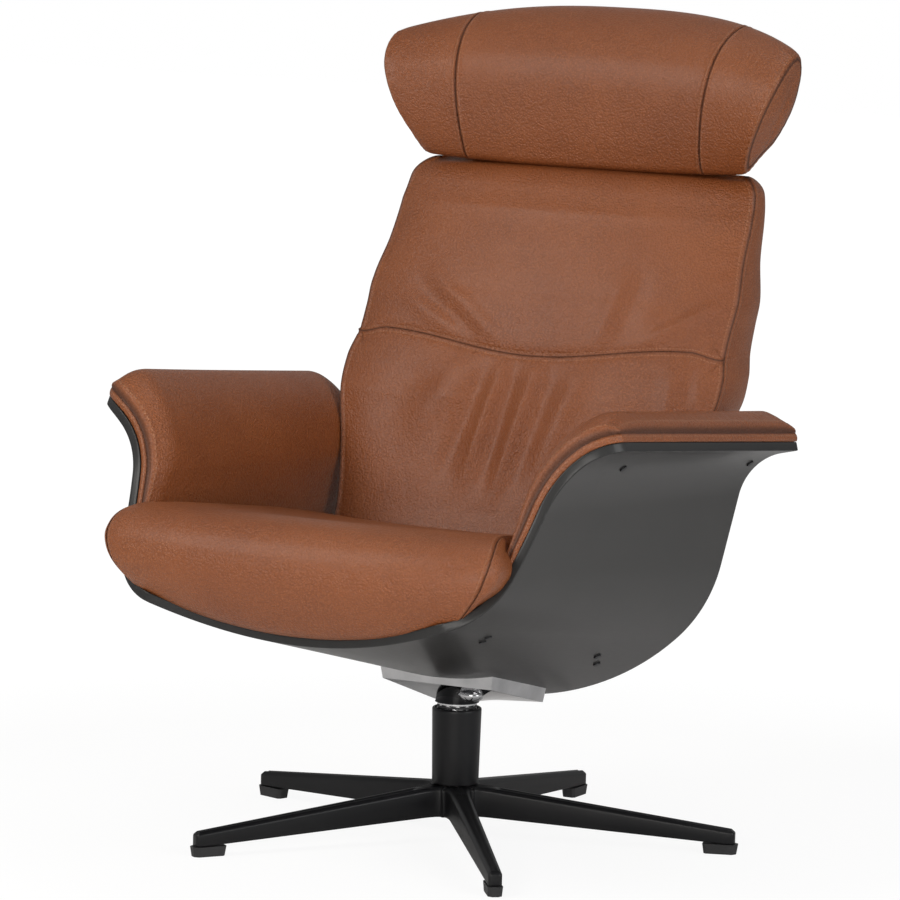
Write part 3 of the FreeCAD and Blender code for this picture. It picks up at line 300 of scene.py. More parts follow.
def arm_pad(side, name, material):
    """A pad on the shell's inner face. Its top lies boxing + (full - boxing) * rounding above the ply, where
    the rounding is a product of quarter rounds of the distances to its front, outer and rear edges. The seam
    is drawn past these edges by overhang * (d / 2.5) * exp(1 - d / 2.5) of the distance d, and a boxing strip
    that swells by a sine closes the pad to the ply."""
    marks = (PAD_START, 2, 3, 4, PAD_STOP)
    runs = [spaced(low, high, step) for low, high, step in zip(marks, marks[1:], (0.03, 0.035, 0.018, 0.035))]
    along = np.unique(np.concatenate(runs + [np.array([4.86, 4.9, 4.93, 4.95, 4.965, 4.98, 4.99])]))
    near = np.concatenate([np.arange(0, 9, 0.9), np.arange(10, 60, 3)]) / PAD_LENGTH
    share = np.concatenate([near, np.linspace(near[-1], 1 - near[-1], 120)[1:-1], 1 - near[::-1]])
    front, rear = shell_reach(along, PLY, 1.0)
    back = front[:, None] + share[None, :] * (rear - front)[:, None]
    base = shell_point(along[:, None], back, PLY)
    steps = np.linalg.norm(np.diff(base, axis=0), axis=-1)
    outer = np.concatenate([np.cumsum(steps[::-1], 0)[::-1], np.zeros((1, steps.shape[1]))])
    ahead, behind = back - front[:, None], rear[:, None] - back
    station = (along - PAD_START) / 3.2 * 6
    full, boxing, brow = (through(table, station) for table in (PAD_FULL, PAD_BOXING, PAD_BROW))
    rounding = (quarter_round(ahead, brow[:, None]) * quarter_round(outer, PAD_OUTER_ROUND)
                * quarter_round(behind, np.minimum(PAD_REAR_ROUND, brow)[:, None]))
    off = np.minimum.reduce([ahead, outer, behind])
    run = np.where(outer < ahead, back, along[:, None] * RUN_LENGTH)
    waves = np.sin(run / 2.9 + 2.3 * np.sin(run / 11))
    gathers = waves * np.exp(-((off - 8) / 6) ** 2) * smooth_step(off, 1, 6)
    depth = boxing[:, None] + (full - boxing)[:, None] * rounding
    depth = depth + seam_relief(off, 1.8, 0.8) + 0.35 * gathers
    tilt = 1 / np.maximum(steps[-1] / (along[-1] - along[-2]), 5)
    past = [PAD_OVERHANG * edge / 2.5 * np.exp(1 - edge / 2.5) for edge in (outer, ahead, behind)]
    top = shell_point(side * (along[:, None] + tilt * past[0]), back - past[1] + past[2], PLY + depth)
    foot = shell_point(side * along[:, None], back, PLY + PAD_GAP)
    patches = Patches().add(top, off, run).add(foot)
    rise = np.array([0, 0.03, 0.07, 0.12, 0.2, 0.35, 0.5, 0.65, 0.8, 0.88, 0.93, 0.97, 1.0])
    swell = PAD_SWELL * np.sin(math.pi * rise) ** 0.7

    def strip(places, backs, depths, out_along, out_back):
        """Rows of boxing between the ply and the seam, swelling outwards."""
        level = PLY + PAD_GAP + (depths - PAD_GAP) * rise[:, None]
        out = swell[:, None]
        grid = shell_point(side * (places + out_along * out), backs + out_back * out, level)
        patches.add(grid, (1 - rise)[:, None] * depths, np.where(out_along != 0, backs, places * RUN_LENGTH))

    at_front, at_rear = 1 - smooth_step(ahead[-1], 0, 12), 1 - smooth_step(behind[-1], 0, 12)
    at_corner = smooth_step(along, 4.8, PAD_STOP)
    strip(along[-1] * np.ones_like(share), back[-1], depth[-1], tilt * (1 - 0.3 * (at_front + at_rear)),
          0.7 * (at_rear - at_front))
    strip(along, back[:, 0], depth[:, 0], 0.7 * tilt[0] * at_corner, 0.3 * at_corner - 1)
    strip(along, back[:, -1], depth[:, -1], 0.7 * tilt[-1] * at_corner, 1 - 0.3 * at_corner)
    strip(along[0] * np.ones_like(share), back[0], depth[0], 0.0, 0.0)
    pad = patches.piece("arm_pad_%s_looks" % name, material, "seat", "leather", ["arm_pad_" + name], weld=0.3)


# Bolsters: the headrest and the seat cushion

def ring_normals(ring):
    """Outward normals of closed rings: the tangent turned by a quarter, to the side that the sign of the
    enclosed area gives."""
    following = np.roll(ring, -1, -2)
    tangent = following - np.roll(ring, 1, -2)
    tangent /= np.linalg.norm(tangent, axis=-1, keepdims=True) + 1e-9
    area = (ring[..., 0] * following[..., 1] - following[..., 0] * ring[..., 1]).sum(-1, keepdims=True)
    return np.stack([tangent[..., 1], -tangent[..., 0]], -1) * np.sign(area)[..., None]


SIDE_STEP, AROUND_STEP, ROUGH_STEPS = 5.0, 3.6, 12


def bolster(shape):
    """A closed skin along X. Its section at a distance across is middle * (1 - b) + end * b, with
    b = (across / half width)^power; the half width and the seam's place change round the section. Past the
    seam the section draws in by draw * share^2, and near the end by a quarter round."""
    middle, end = np.asarray(shape["middle"], float), np.asarray(shape["end"], float)
    count = len(middle)
    rough = through(middle, np.linspace(0, count, ROUGH_STEPS * count, endpoint=False), True)
    lengths = np.linalg.norm(np.roll(rough, -1, 0) - rough, axis=-1)
    total = lengths.sum()
    marks = np.concatenate([[0], np.cumsum(lengths)])
    around = np.interp(np.linspace(0, total, int(total / AROUND_STEP), endpoint=False), marks,
                       np.linspace(0, count, ROUGH_STEPS * count + 1))
    half = through(shape["half"], around, True)
    seam = through(shape["seam"], around, True)
    panel, gusset = shape["panel"], shape["gusset"]
    finish = [panel + gusset - 0.6 * step for step in (0, 1, 2, 4, 7, 11, 16, 22)]
    places = np.union1d(spaced(0, panel + gusset, SIDE_STEP, [panel]), finish)
    places = np.concatenate([-places[:0:-1], places])
    away = np.abs(places)
    to_end = panel + gusset - away
    inner = away[:, None] / panel * seam
    outer = seam + (away[:, None] - panel) / gusset * (half - seam)
    across = np.where(away[:, None] <= panel, inner, outer)
    power = through(shape["power"], around, True)
    blend = (np.clip(across / half, 0, 1) ** power)[..., None]
    ring = through(middle, around, True) * (1 - blend) + through(end, around, True) * blend
    left = np.clip((away - panel) / gusset, 0, 1)
    draw = shape["draw"] * left ** 2 + shape["edge"] * (1 - quarter_round(to_end, shape["round"]))
    ring = ring - ring_normals(ring) * draw[:, None, None]
    grid = np.concatenate([(np.sign(places)[:, None] * across)[..., None], ring], -1)
    end_seam = shape.get("end_seam", 1e3)
    off = np.minimum(np.abs(away - panel)[:, None], end_seam + to_end[:, None])
    run = np.broadcast_to(around / count * total, grid.shape[:2])
    height = (seam_relief(away - panel) + seam_relief(to_end, 1.2, 1.1))[:, None]
    pull = np.exp(-((to_end - 7) / 5) ** 2)[:, None] * shape.get("gathers", 0)
    height = height + pull * np.sin(run / 3.1 + 2.0 * np.sin(run / 13 + np.sign(places)[:, None]))
    if "folds" in shape:
        height = height + shape["folds"](grid)
    grid[..., 1:] += ring_normals(ring) * height[..., None]
    patches = Patches().add(grid, off, run, closed=True)
    shrink = np.array([1, 0.985, 0.96, 0.92, 0.85, 0.75, 0.6, 0.45, 0.3, 0.15, 0.0])
    for last in (grid[0], grid[-1]):
        centre = last.mean(0)
        cap = centre + (last - centre) * shrink[:, None, None]
        bulge = shape["bulge"] * (1 - shrink ** 2) * np.sign(centre[0])
        cap[..., 0] += bulge[:, None]
        reach = (1 - shrink) * np.linalg.norm(last - centre, axis=-1).mean()
        patches.add(cap, end_seam + reach[:, None], run[0], closed=True)
    return patches


# Sections are (back, up); half, seam and power hold one value for each of their points
HEADREST = {
    "middle": [(332, 859), (319, 882), (311, 930), (313, 975), (329, 1017), (362, 1050), (412, 1069),
               (455, 1066), (479, 1036), (480, 990), (466, 935), (446, 888), (425, 863), (380, 858)],
    "end": [(322, 868), (304, 890), (289, 922), (285, 952), (292, 984), (308, 1008), (330, 1024), (350, 1028),
            (366, 1018), (373, 992), (370, 952), (362, 912), (350, 886), (336, 868)],
    "half": [243, 252, 268, 281, 293, 299, 301, 301, 300, 297, 288, 270, 252, 243],
    "seam": [177, 178, 182, 186, 190, 194, 197, 197, 197, 193, 187, 181, 177, 176],
    "panel": 180, "gusset": 110, "power": [2.6] * 14, "draw": 0, "edge": 8, "round": 20, "bulge": 9,
    "end_seam": 0.0, "gathers": 0.45}


def seat_folds(grid):
    """A shallow hollow where one sits, and faint creases that run back from the front roll."""
    across, back = grid[..., 0], grid[..., 1]
    top = smooth_step(grid[..., 2], 400, 430)
    hollow = -3 * np.exp(-(across / 150) ** 2 - ((back + 170) / 140) ** 2)
    creases = 0.0
    for start, stop in (((-150, -360), (-190, -250)), ((165, -370), (205, -255)), ((60, -300), (90, -180))):
        creases = creases - 1.1 * crease(across, back, start, stop, 9)
    return top * (hollow + creases)


SEAT = {
    "middle": [(44, 324), (62, 362), (70, 388), (40, 400), (-60, 416), (-160, 432), (-260, 448), (-340, 461),
               (-400, 469), (-440, 461), (-465, 436), (-474, 401), (-462, 358), (-441, 329), (-408, 324),
               (-340, 330), (-220, 336), (-90, 330)],
    "end": [(44, 322), (58, 350), (62, 382), (36, 406), (-60, 426), (-160, 441), (-260, 455), (-340, 465),
            (-392, 467), (-424, 457), (-444, 436), (-450, 409), (-446, 386), (-434, 369), (-408, 362),
            (-340, 356), (-220, 345), (-90, 334)],
    "half": [236, 242, 244, 244, 244, 244, 244, 248, 265, 276, 279, 271, 254, 237, 224, 216, 222, 230],
    "seam": [230, 236, 238, 238, 238, 238, 238, 241, 257, 268, 270, 262, 245, 228, 215, 207, 213, 221],
    "panel": 256, "gusset": 18, "draw": 2, "edge": 15, "round": 40, "bulge": 4,
    "power": [4, 4, 4, 3, 3, 3, 3, 3, 4, 4, 3.6, 3, 2.4, 2.1, 2, 2, 2.4, 4], "folds": seat_folds}


def headrest(material):
    """The headrest cushion, 602 mm wide, with a seam at each wing and one round each end."""
    cushion = bolster(HEADREST).piece("headrest_looks", material, "headrest", "leather", ["headrest_cushion"])


def seat(material):
    """The seat cushion, rolled over the shell's front lip."""
    cushion = bolster(SEAT).piece("seat_looks", material, "seat", "leather", ["seat_cushion"])


# The back

BACK_FOOT, BACK_SEAM, BACK_TOP = 352, 632, 857
BACK_LEVELS = [352, 420, 490, 560, 600, 632, 665, 700, 752, 806, 835, 857]
BACK_HALF = [234, 239, 254, 274, 277, 270, 269, 270, 262, 259, 255, 248]
BACK_SIDE_FRONT = [74, 104, 137, 170, 194, 213, 230, 249, 279, 308, 323, 331]
BACK_SIDE_REAR = [182, 212, 240, 268, 287, 305, 319, 331, 345, 360, 367, 371]
BACK_CENTRE = [62, 92, 120, 148, 168, 183, 199, 215, 240, 268, 288, 303]
# Each fold: its upper and lower end as (across, up), its width and its height
BACK_FOLDS = (
    ((-58, 606), (-90, 455), 13, 4.2), ((-14, 606), (-30, 450), 12, 5.0), ((44, 612), (12, 440), 17, 4.0),
    ((-34, 600), (-58, 450), 8, -3.4), ((18, 604), (-8, 440), 10, -4.2), ((-96, 602), (-150, 500), 18, -2.5),
    ((84, 606), (44, 470), 14, -2.6), ((-150, 600), (-205, 520), 22, 1.6), ((232, 622), (236, 560), 10, 2.2),
    ((212, 626), (214, 545), 11, -2.2),
    ((-178, 716), (-44, 634), 11, -2.4), ((-196, 702), (-70, 632), 13, 1.8),
    ((-212, 684), (-104, 640), 9, -1.8), ((118, 730), (92, 640), 14, -2.2), ((140, 736), (118, 640), 13, 1.8),
    ((258, 706), (156, 646), 9, -3.0), ((256, 726), (170, 668), 13, 2.2), ((262, 752), (222, 738), 7, 1.1),
    ((262, 734), (226, 722), 6, -1.2))
FOLD_RISE, FOLD_WIDTH = 1.35, 1.15
BACK_ROUND, BACK_DENT, BACK_SIDE_SWELL, BACK_REAR_INSET, BACK_REAR_HALF = 20, 6, 5, 5, 260


def at_level(values, level):
    """A smooth run of values over the heights of the back."""
    place = np.interp(level, BACK_LEVELS, np.arange(len(BACK_LEVELS)))
    return through(values, place)


def back_folds(across, level):
    """Folds that fan out below the cross seam, and drag lines above it, as heights off the leather."""
    height = np.zeros_like(across)
    for start, stop, width, rise in BACK_FOLDS:
        height = height + FOLD_RISE * rise * crease(across, level, start, stop, FOLD_WIDTH * width)
    return height


def back_cushion(material):
    """Rings at rising levels: a crowned front whose depth is (1 - x^2) and (1 - x^14) mixed, two boxing
    sides that swell by a sine, and a crowned rear. The front's levels bend down to the sewn cross seam. Over
    the top 20 mm the rings draw in by a quarter round."""
    rows = np.unique(np.concatenate([spaced(BACK_FOOT, BACK_TOP - BACK_ROUND, 3.6, [BACK_SEAM], 0.8, 9),
                                     BACK_TOP - BACK_ROUND * (1 - np.sin(np.linspace(0, math.pi / 2, 12)))]))
    share = spaced(-1, 1, 0.0145)
    edge = np.array([1, 0.9985, 0.9965, 0.994, 0.991, 0.987, 0.982, 0.976, 0.968, 0.958])
    share = np.union1d(np.round(share[np.abs(share) < 0.95], 5), np.concatenate([-edge, edge]))

    def ring_levels(spread):
        """The sewn seam's level across the front, and every row bent to follow it."""
        half, crest = 270, 225
        away = np.clip(np.abs(spread) * half, 0, half)
        climb = np.sin(np.clip(away / crest, 0, 1) * math.pi / 2) ** 2
        seam = 619 + 20 * climb - 9 * smooth_step(away, crest, half)
        low = BACK_FOOT + (rows[:, None] - BACK_FOOT) * (seam - BACK_FOOT) / (BACK_SEAM - BACK_FOOT)
        high = seam + (rows[:, None] - BACK_SEAM) * (BACK_TOP - seam) / (BACK_TOP - BACK_SEAM)
        return np.where(rows[:, None] < BACK_SEAM, low, high)

    draw = BACK_ROUND * (1 - quarter_round(BACK_TOP - rows, BACK_ROUND))[:, None]
    level = ring_levels(share[None, :])
    half = at_level(BACK_HALF, level) - draw
    side = at_level(BACK_SIDE_FRONT, level)
    crown = 0.55 * (1 - share ** 2) + 0.45 * (1 - np.abs(share) ** 14)
    from_seam = np.abs(rows - BACK_SEAM)[:, None]
    dent = BACK_DENT * np.exp(-from_seam / 11) * crown
    front = side + (at_level(BACK_CENTRE, level) - side) * crown + dent + draw
    across = half * share
    corner = (1 - np.abs(share)) * half
    height = back_folds(across, level) * smooth_step(corner, 4, 26)
    height = height + seam_relief(from_seam, 1.8, 0.5) + seam_relief(corner, 1.6, 0.8)
    height = height - 3 * np.exp(-corner / 5)
    front_grid = pushed(np.stack([across, front, level], -1), height)
    off = np.minimum(from_seam, corner)
    run = np.where(from_seam < corner, across, level)
    patches = Patches().add(front_grid, off, run)
    near_ends = [0.01, 0.025, 0.04, 0.06, 0.08, 0.92, 0.94, 0.96, 0.98]
    depth = np.unique(np.concatenate([spaced(0, 1, 0.05), near_ends]))
    rears, sides = [], []
    for hand, border in ((-1, front_grid[:, 0]), (1, front_grid[:, -1])):
        end_level = border[:, 2]
        rear_x = hand * (at_level(BACK_HALF, end_level) - BACK_REAR_INSET - draw[:, 0])
        rear_y = at_level(BACK_SIDE_REAR, end_level) - draw[:, 0]
        rear_edge = np.stack([rear_x, rear_y, end_level], -1)
        span = np.abs(rear_y - border[:, 1])[:, None]
        grid = border[:, None] * (1 - depth[None, :, None]) + rear_edge[:, None] * depth[None, :, None]
        swell = BACK_SIDE_SWELL * np.sin(math.pi * depth) ** 0.8 + seam_relief(depth * span, 0, 0.8)
        swell = swell * np.minimum(1, depth * 40) * np.minimum(1, (1 - depth) * 40)
        grid[..., 0] += hand * swell
        patches.add(grid, depth * span, end_level[:, None])
        rears.append(rear_edge)
        sides.append(grid)
    mix = ((share + 1) / 2)[None, :, None]
    rear = rears[0][:, None] * (1 - mix) + rears[1][:, None] * mix
    rise = np.clip((rear[..., 2] - BACK_FOOT) / (BACK_TOP - BACK_FOOT), 0, 1)
    gap = (1 - np.abs(share)) * BACK_REAR_HALF
    belly = (1 - np.abs(share) ** 2.6)[None, :] * (19 - 14 * (2 * rise - 1) ** 4)
    rear[..., 1] += belly + 3 * quarter_round(gap, 20)[None, :]
    patches.add(rear, np.broadcast_to(gap, rear.shape[:2]), rear[..., 2])
    for index in (0, -1):
        cross = depth[:, None, None]
        cap = front_grid[index][None] * (1 - cross) + rear[index][None] * cross
        left, right = sides[0][index] - cap[:, 0], sides[1][index] - cap[:, -1]
        near = np.exp(-gap / 9)
        cap = cap + (left[:, None] * (near * (share < 0))[None, :, None]
                     + right[:, None] * (near * (share > 0))[None, :, None])
        patches.add(cap)
    cushion = patches.piece("back_looks", material, "back", "leather", ["back_cushion", "back_cover"])


# Star base, column and bracket

def lathe(name, profile, material, body, slot, nodes, segments=96, centre=(0, 0)):
    """A turned piece: each (radius, height) of the profile goes once round a vertical axis."""
    turn = np.linspace(0, 2 * math.pi, segments, endpoint=False)
    radius, height = np.asarray(profile, float).T[:, :, None]
    ring = np.stack([centre[0] + radius * np.cos(turn), centre[1] + radius * np.sin(turn),
                     np.broadcast_to(height, (len(profile), segments))], -1)
    return Patches().add(ring, closed=True).piece(name, material, body, slot, nodes)


# Insets from the leg's outline, with the lift off its underside or the drop below its top
LEG_FOOT_EDGE = ((9, 0), (4, 0), (1.5, 0), (0.4, 0.5), (0, 1.6))
LEG_TOP_EDGE = ((0, 5.6), (0.15, 4.6), (0.6, 3.6), (3.6, 0.9), (4.6, 0.25), (5.8, 0))


def star_base(material):
    """The casting: rings round its plan outline, which follows five tapered legs joined by fillets. The rings
    climb from the underside over a rounded side to the bevelled top; the heights fall with the radius."""
    reach, root_half, tip_half, web, tip_round = 371.0, 13.5, 9.0, 46.0, 5
    fifth = 2 * math.pi / 5
    along = np.concatenate([np.linspace(web, 70, 8), np.linspace(80, reach - 6, 40)])
    width = root_half + (tip_half - root_half) * along / reach
    fillet_start = np.array([along[0], width[0]])
    valley_angle = fifth / 2
    valley = 36.0
    hub_flat, hub_foot, hub_top, top_fall, foot_fall = 20, 33.0, 73.5, 41.5, 20
    part = np.linspace(0, 1, 14)[1:]
    meet = np.array([valley * math.cos(valley_angle), valley * math.sin(valley_angle)])
    pull = np.array([root_half / math.tan(valley_angle) + 7, root_half + 1.5])
    fillet = (fillet_start * (1 - part[:, None]) ** 2 + 2 * pull * part[:, None] * (1 - part[:, None])
              + meet * part[:, None] ** 2)
    corner = np.linspace(0, math.pi / 2, 7)
    tip = np.stack([reach - tip_round + tip_round * np.sin(corner[::-1]),
                    tip_half - tip_round + tip_round * np.cos(corner[::-1])], -1)
    side = np.stack([along, width], -1)[::-1]
    right = np.concatenate([tip, side, fillet])
    left = right[::-1] * [1, -1]
    leg = np.concatenate([left, right[:-1]])
    turns = [math.pi / 2 + index * fifth for index in range(5)]
    ways = np.array([(math.cos(turn), math.sin(turn)) for turn in turns])
    outline = np.concatenate([leg @ np.array([[out, up], [-up, out]]) for out, up in ways])
    tangent = np.roll(outline, -1, 0) - np.roll(outline, 1, 0)
    tangent /= np.linalg.norm(tangent, axis=1, keepdims=True)
    outward = np.stack([tangent[:, 1], -tangent[:, 0]], -1)
    radius = np.linalg.norm(outline, axis=1)

    slope = np.clip((radius - hub_flat) / (reach - hub_flat), 0, 1)
    top, under = hub_top - top_fall * slope, hub_foot - foot_fall * slope
    levels = [(inset, under + lift) for inset, lift in LEG_FOOT_EDGE]
    levels += [(inset, top - drop) for inset, drop in LEG_TOP_EDGE]
    rings = np.array([np.concatenate([outline - outward * inset, level[:, None]], 1) for inset, level in levels])
    spine = np.minimum(radius * 0.97, reach - 8)
    lined = np.repeat(ways, len(leg), 0)
    hub = smooth_step(radius, 40, 62)[:, None]
    centre = lined * spine[:, None] * hub + outline * 0.35 * (1 - hub)
    low = np.concatenate([centre, under[:, None]], 1)[None]
    high = np.concatenate([centre, (top + 0.05)[:, None]], 1)[None]
    axis_low = np.tile([[0.0, 0.0, hub_foot]], (len(outline), 1))[None]
    axis_high = np.tile([[0.0, 0.0, hub_top]], (len(outline), 1))[None]
    grid = np.concatenate([axis_low, low, rings, high, axis_high])
    patches = Patches().add(grid, closed=True)
    return patches.piece("star_looks", material, "base", "black_casting", ["star_base"])


def column(material):
    """The tube: 30.5 mm at its foot, 32.5 mm at the top, with a rounded rim and a flat mouth."""
    profile = [(26.5, 74), (30.2, 74), (30.5, 75), (31.5, 124), (32.4, 169), (32.5, 171.5), (32.1, 173),
               (31, 174), (29.6, 174), (28.9, 173.4), (28.5, 172), (28.5, 150), (26.5, 140), (26.5, 74)]
    return lathe("column_looks", profile, material, "base", "black_casting", ["column_tube"])


CAP_AXIS = (41, -37)
BEVEL_WIDTH, BEVEL_ANGLE = 1.2, 20


def cap_dome(material):
    """The polished dome under the bracket, half an ellipse turned about its own axis, with a short neck."""
    turn = np.linspace(0, math.pi / 2, 14)
    dome = np.stack([16 * np.sin(turn), 200 - 10 * np.cos(turn)], -1)
    profile = np.concatenate([dome, [(16, 201.5), (15, 203), (0, 203)]])
    return lathe("cap_looks", profile, material, "seat", "polished_aluminium", ["bracket_cap"], 48, CAP_AXIS)


def bracket(node, material):
    """The bracket's own faces, merged, with a 1.2 mm bevel along every edge that turns by over 20 degrees."""
    piece = bpy.data.objects.new("bracket_looks", frame["nodes"][node].data.copy())
    shape = bmesh.new()
    shape.from_mesh(piece.data)
    bmesh.ops.remove_doubles(shape, verts=shape.verts, dist=0.01 * MM)
    shape.to_mesh(piece.data)
    shape.free()
    bevel = piece.modifiers.new("edges", "BEVEL")
    bevel.width = BEVEL_WIDTH * MM
    bevel.segments = 3
    bevel.limit_method = "ANGLE"
    bevel.angle_limit = math.radians(BEVEL_ANGLE)
    return dress(piece, material, "seat", [node])


# Materials

class Value:
    """A number socket whose arithmetic adds Math nodes to its tree."""

    def __init__(self, tree, socket):
        self.tree, self.socket = tree, socket

    def math(self, operation, first, second):
        return self.tree.node("ShaderNodeMath", {"operation": operation}, {0: first, 1: second})

    def __add__(self, other):
        return self.math("ADD", self, other)

    def __radd__(self, other):
        return self.math("ADD", other, self)

    def __sub__(self, other):
        return self.math("SUBTRACT", self, other)

    def __rsub__(self, other):
        return self.math("SUBTRACT", other, self)

    def __mul__(self, other):
        return self.math("MULTIPLY", self, other)

    def __rmul__(self, other):
        return self.math("MULTIPLY", other, self)

    def __pow__(self, other):
        return self.math("POWER", self, other)

    def bell(self, width):
        """exp(-(value / width)^2)"""
        return self.math("POWER", math.exp(-1), (self * (1 / width)) ** 2)

    def clamped(self, low, high):
        return self.math("MINIMUM", self.math("MAXIMUM", self, low), high)


class Tree:
    """A node tree. node() adds one node: its settings first, then its inputs by name or number."""

    def __init__(self, tree):
        self.tree = tree

    def found(self, kind):
        return next(node for node in self.tree.nodes if node.type == kind)

    def node(self, kind, settings=None, inputs=None, output=0):
        node = self.tree.nodes.new(kind)
        for name, value in (settings or {}).items():
            if name == "stops":
                set_stops(node.color_ramp, value)
            else:
                setattr(node, name, value)
        for name, value in (inputs or {}).items():
            self.feed(node.inputs[name], value)
        return Value(self, node.outputs[output])

    def feed(self, socket, value):
        if isinstance(value, Value):
            self.tree.links.new(value.socket, socket)
        else:
            socket.default_value = value


class Shader(Tree):
    """A material's tree, with the textures that the materials share."""

    def __init__(self, name):
        self.material = bpy.data.materials.new(name)
        self.material.use_nodes = True
        super().__init__(self.material.node_tree)
        self.surface = self.found("BSDF_PRINCIPLED")

    def finish(self, **inputs):
        for name, value in inputs.items():
            self.feed(self.surface.inputs[name.replace("_", " ")], value)
        return self.material

    def here(self):
        return self.node("ShaderNodeTexCoord", output="Object")

    def stretched(self, scale):
        return self.node("ShaderNodeMapping", inputs={"Vector": self.here(), "Scale": scale})

    def noise(self, scale, detail=3, roughness=0.5, vector=None):
        return self.node("ShaderNodeTexNoise", inputs={"Vector": vector or self.here(), "Scale": scale,
                                                       "Detail": detail, "Roughness": roughness})

    def ramp(self, factor, stops):
        return self.node("ShaderNodeValToRGB", {"stops": stops}, {"Fac": factor})

    def mixed(self, factor, first, second):
        return self.node("ShaderNodeMix", {"data_type": "RGBA"}, {0: factor, 6: first, 7: second}, 2)

    def attribute(self, name):
        return self.node("ShaderNodeAttribute", {"attribute_name": name}, output="Fac")

    def bump(self, height, strength, distance, normal=None):
        inputs = {"Height": height, "Strength": strength, "Distance": distance}
        if normal is not None:
            inputs["Normal"] = normal
        return self.node("ShaderNodeBump", inputs=inputs)


def set_stops(ramp, stops):
    """Gives a colour ramp these (place, colour) stops and no others."""
    while len(ramp.elements) > len(stops):
        ramp.elements.remove(ramp.elements[-1])
    while len(ramp.elements) < len(stops):
        ramp.elements.new(0.5)
    for element, (place, colour) in zip(ramp.elements, stops):
        element.position = place
        element.color = colour


PEBBLE_SCALE, GRAIN_SCALE, CLOUD_SCALE, WEAR_SCALE, PATCH_SCALE = 330.0, 620.0, 6.0, 38.0, 11.0
HIDE_TONES = [(0.25, (0.195, 0.052, 0.013, 1)), (0.5, (0.235, 0.066, 0.017, 1)),
              (0.78, (0.275, 0.081, 0.022, 1))]
# The pit tone is painted shade for the pebbles' pits, the ridge tone a painted highlight for their tops.
WORN_TONE, PIT_SHADE_TONE, RIDGE_HIGHLIGHT_TONE = (0.310, 0.098, 0.030, 1), (0.105, 0.028, 0.009, 1), (0.50, 0.225, 0.10, 1)
# The groove tone is painted shade for the seam grooves.
GROOVE_SHADE_TONE, THREAD_TONE = (0.045, 0.014, 0.006, 1), (0.40, 0.19, 0.10, 1)
GROOVE_WIDTH, GATHER_WIDTH, STITCH_AT, STITCH_WIDTH = 1.3, 12.0, 4.2, 0.6


def leather():
    """Cognac leather: pebbles from two sizes of cells with painted shade in their pits and a painted highlight
    on their tops, slow cloudy colour, darker seams whose darkness is painted shade in their grooves, with
    stitches on both sides, and small gathers beside them."""
    shader = Shader("cognac_leather")
    cells = shader.node("ShaderNodeTexVoronoi", {"feature": "SMOOTH_F1"},
                        {"Vector": shader.here(), "Scale": PEBBLE_SCALE, "Smoothness": 0.25})
    small = shader.node("ShaderNodeTexVoronoi", {"feature": "F1"},
                        {"Vector": shader.here(), "Scale": GRAIN_SCALE})
    pebble = (1 - cells) * 0.7 + (1 - small) * 0.3
    cloud = shader.noise(CLOUD_SCALE, 4, 0.6)
    worn = shader.noise(WEAR_SCALE, 3, 0.55)
    patch = ((shader.noise(PATCH_SCALE, 2) - 0.38) * 3.2).clamped(0, 1)
    off, run = shader.attribute("seam_off"), shader.attribute("seam_run")
    groove = off.bell(GROOVE_WIDTH)
    near = off.bell(GATHER_WIDTH)
    beat = shader.node("ShaderNodeMath", {"operation": "FRACT"}, {0: run * 0.22})
    dash = shader.node("ShaderNodeMath", {"operation": "LESS_THAN"}, {0: beat, 1: 0.72})
    stitch = (off - STITCH_AT).bell(STITCH_WIDTH) * dash
    gathers = shader.node("ShaderNodeTexNoise", {"noise_dimensions": "2D"}, {
        "Vector": shader.node("ShaderNodeCombineXYZ", inputs={0: run * 0.16, 1: off * 0.02}),
        "Scale": 1.0, "Detail": 1.5})
    # Painted shade: the pebbles' pits, where a cell dips, are marked for a darker tone.
    pit_shade = ((cells - 0.34) * 3.4).clamped(0, 1)
    # Painted highlight: the middles of the pebble cells are marked for a lighter tone.
    ridge_highlights = (1 - cells * 2.6).clamped(0, 1)
    base = shader.mixed(worn * 0.3, shader.ramp(cloud, HIDE_TONES), WORN_TONE)
    # Painted shade in the pebbles' pits, stronger in some patches.
    base = shader.mixed(pit_shade * (0.16 + patch * 0.14), base, PIT_SHADE_TONE)
    # Painted highlight on the pebbles' tops, stronger in some patches.
    base = shader.mixed(ridge_highlights * (0.06 + patch * 0.16), base, RIDGE_HIGHLIGHT_TONE)
    # Painted shade along each seam's groove.
    base = shader.mixed((groove * 0.85).clamped(0, 0.85), base, GROOVE_SHADE_TONE)
    base = shader.mixed((stitch * 0.45).clamped(0, 0.45), base, THREAD_TONE)
    height = pebble * 0.55 + worn * 0.15
    normal = shader.bump(height, 1.0, 0.0030)
    normal = shader.bump(gathers * near + stitch * 0.25 - groove * 0.6, 0.8, 0.0014, normal)
    rough = (0.28 + cells * 0.14 + worn * 0.10 + groove * 0.4).clamped(0, 1)
    return shader.finish(Base_Color=base, Roughness=rough, Normal=normal, Specular_IOR_Level=0.4,
                         Coat_Weight=0.12, Coat_Roughness=0.3)


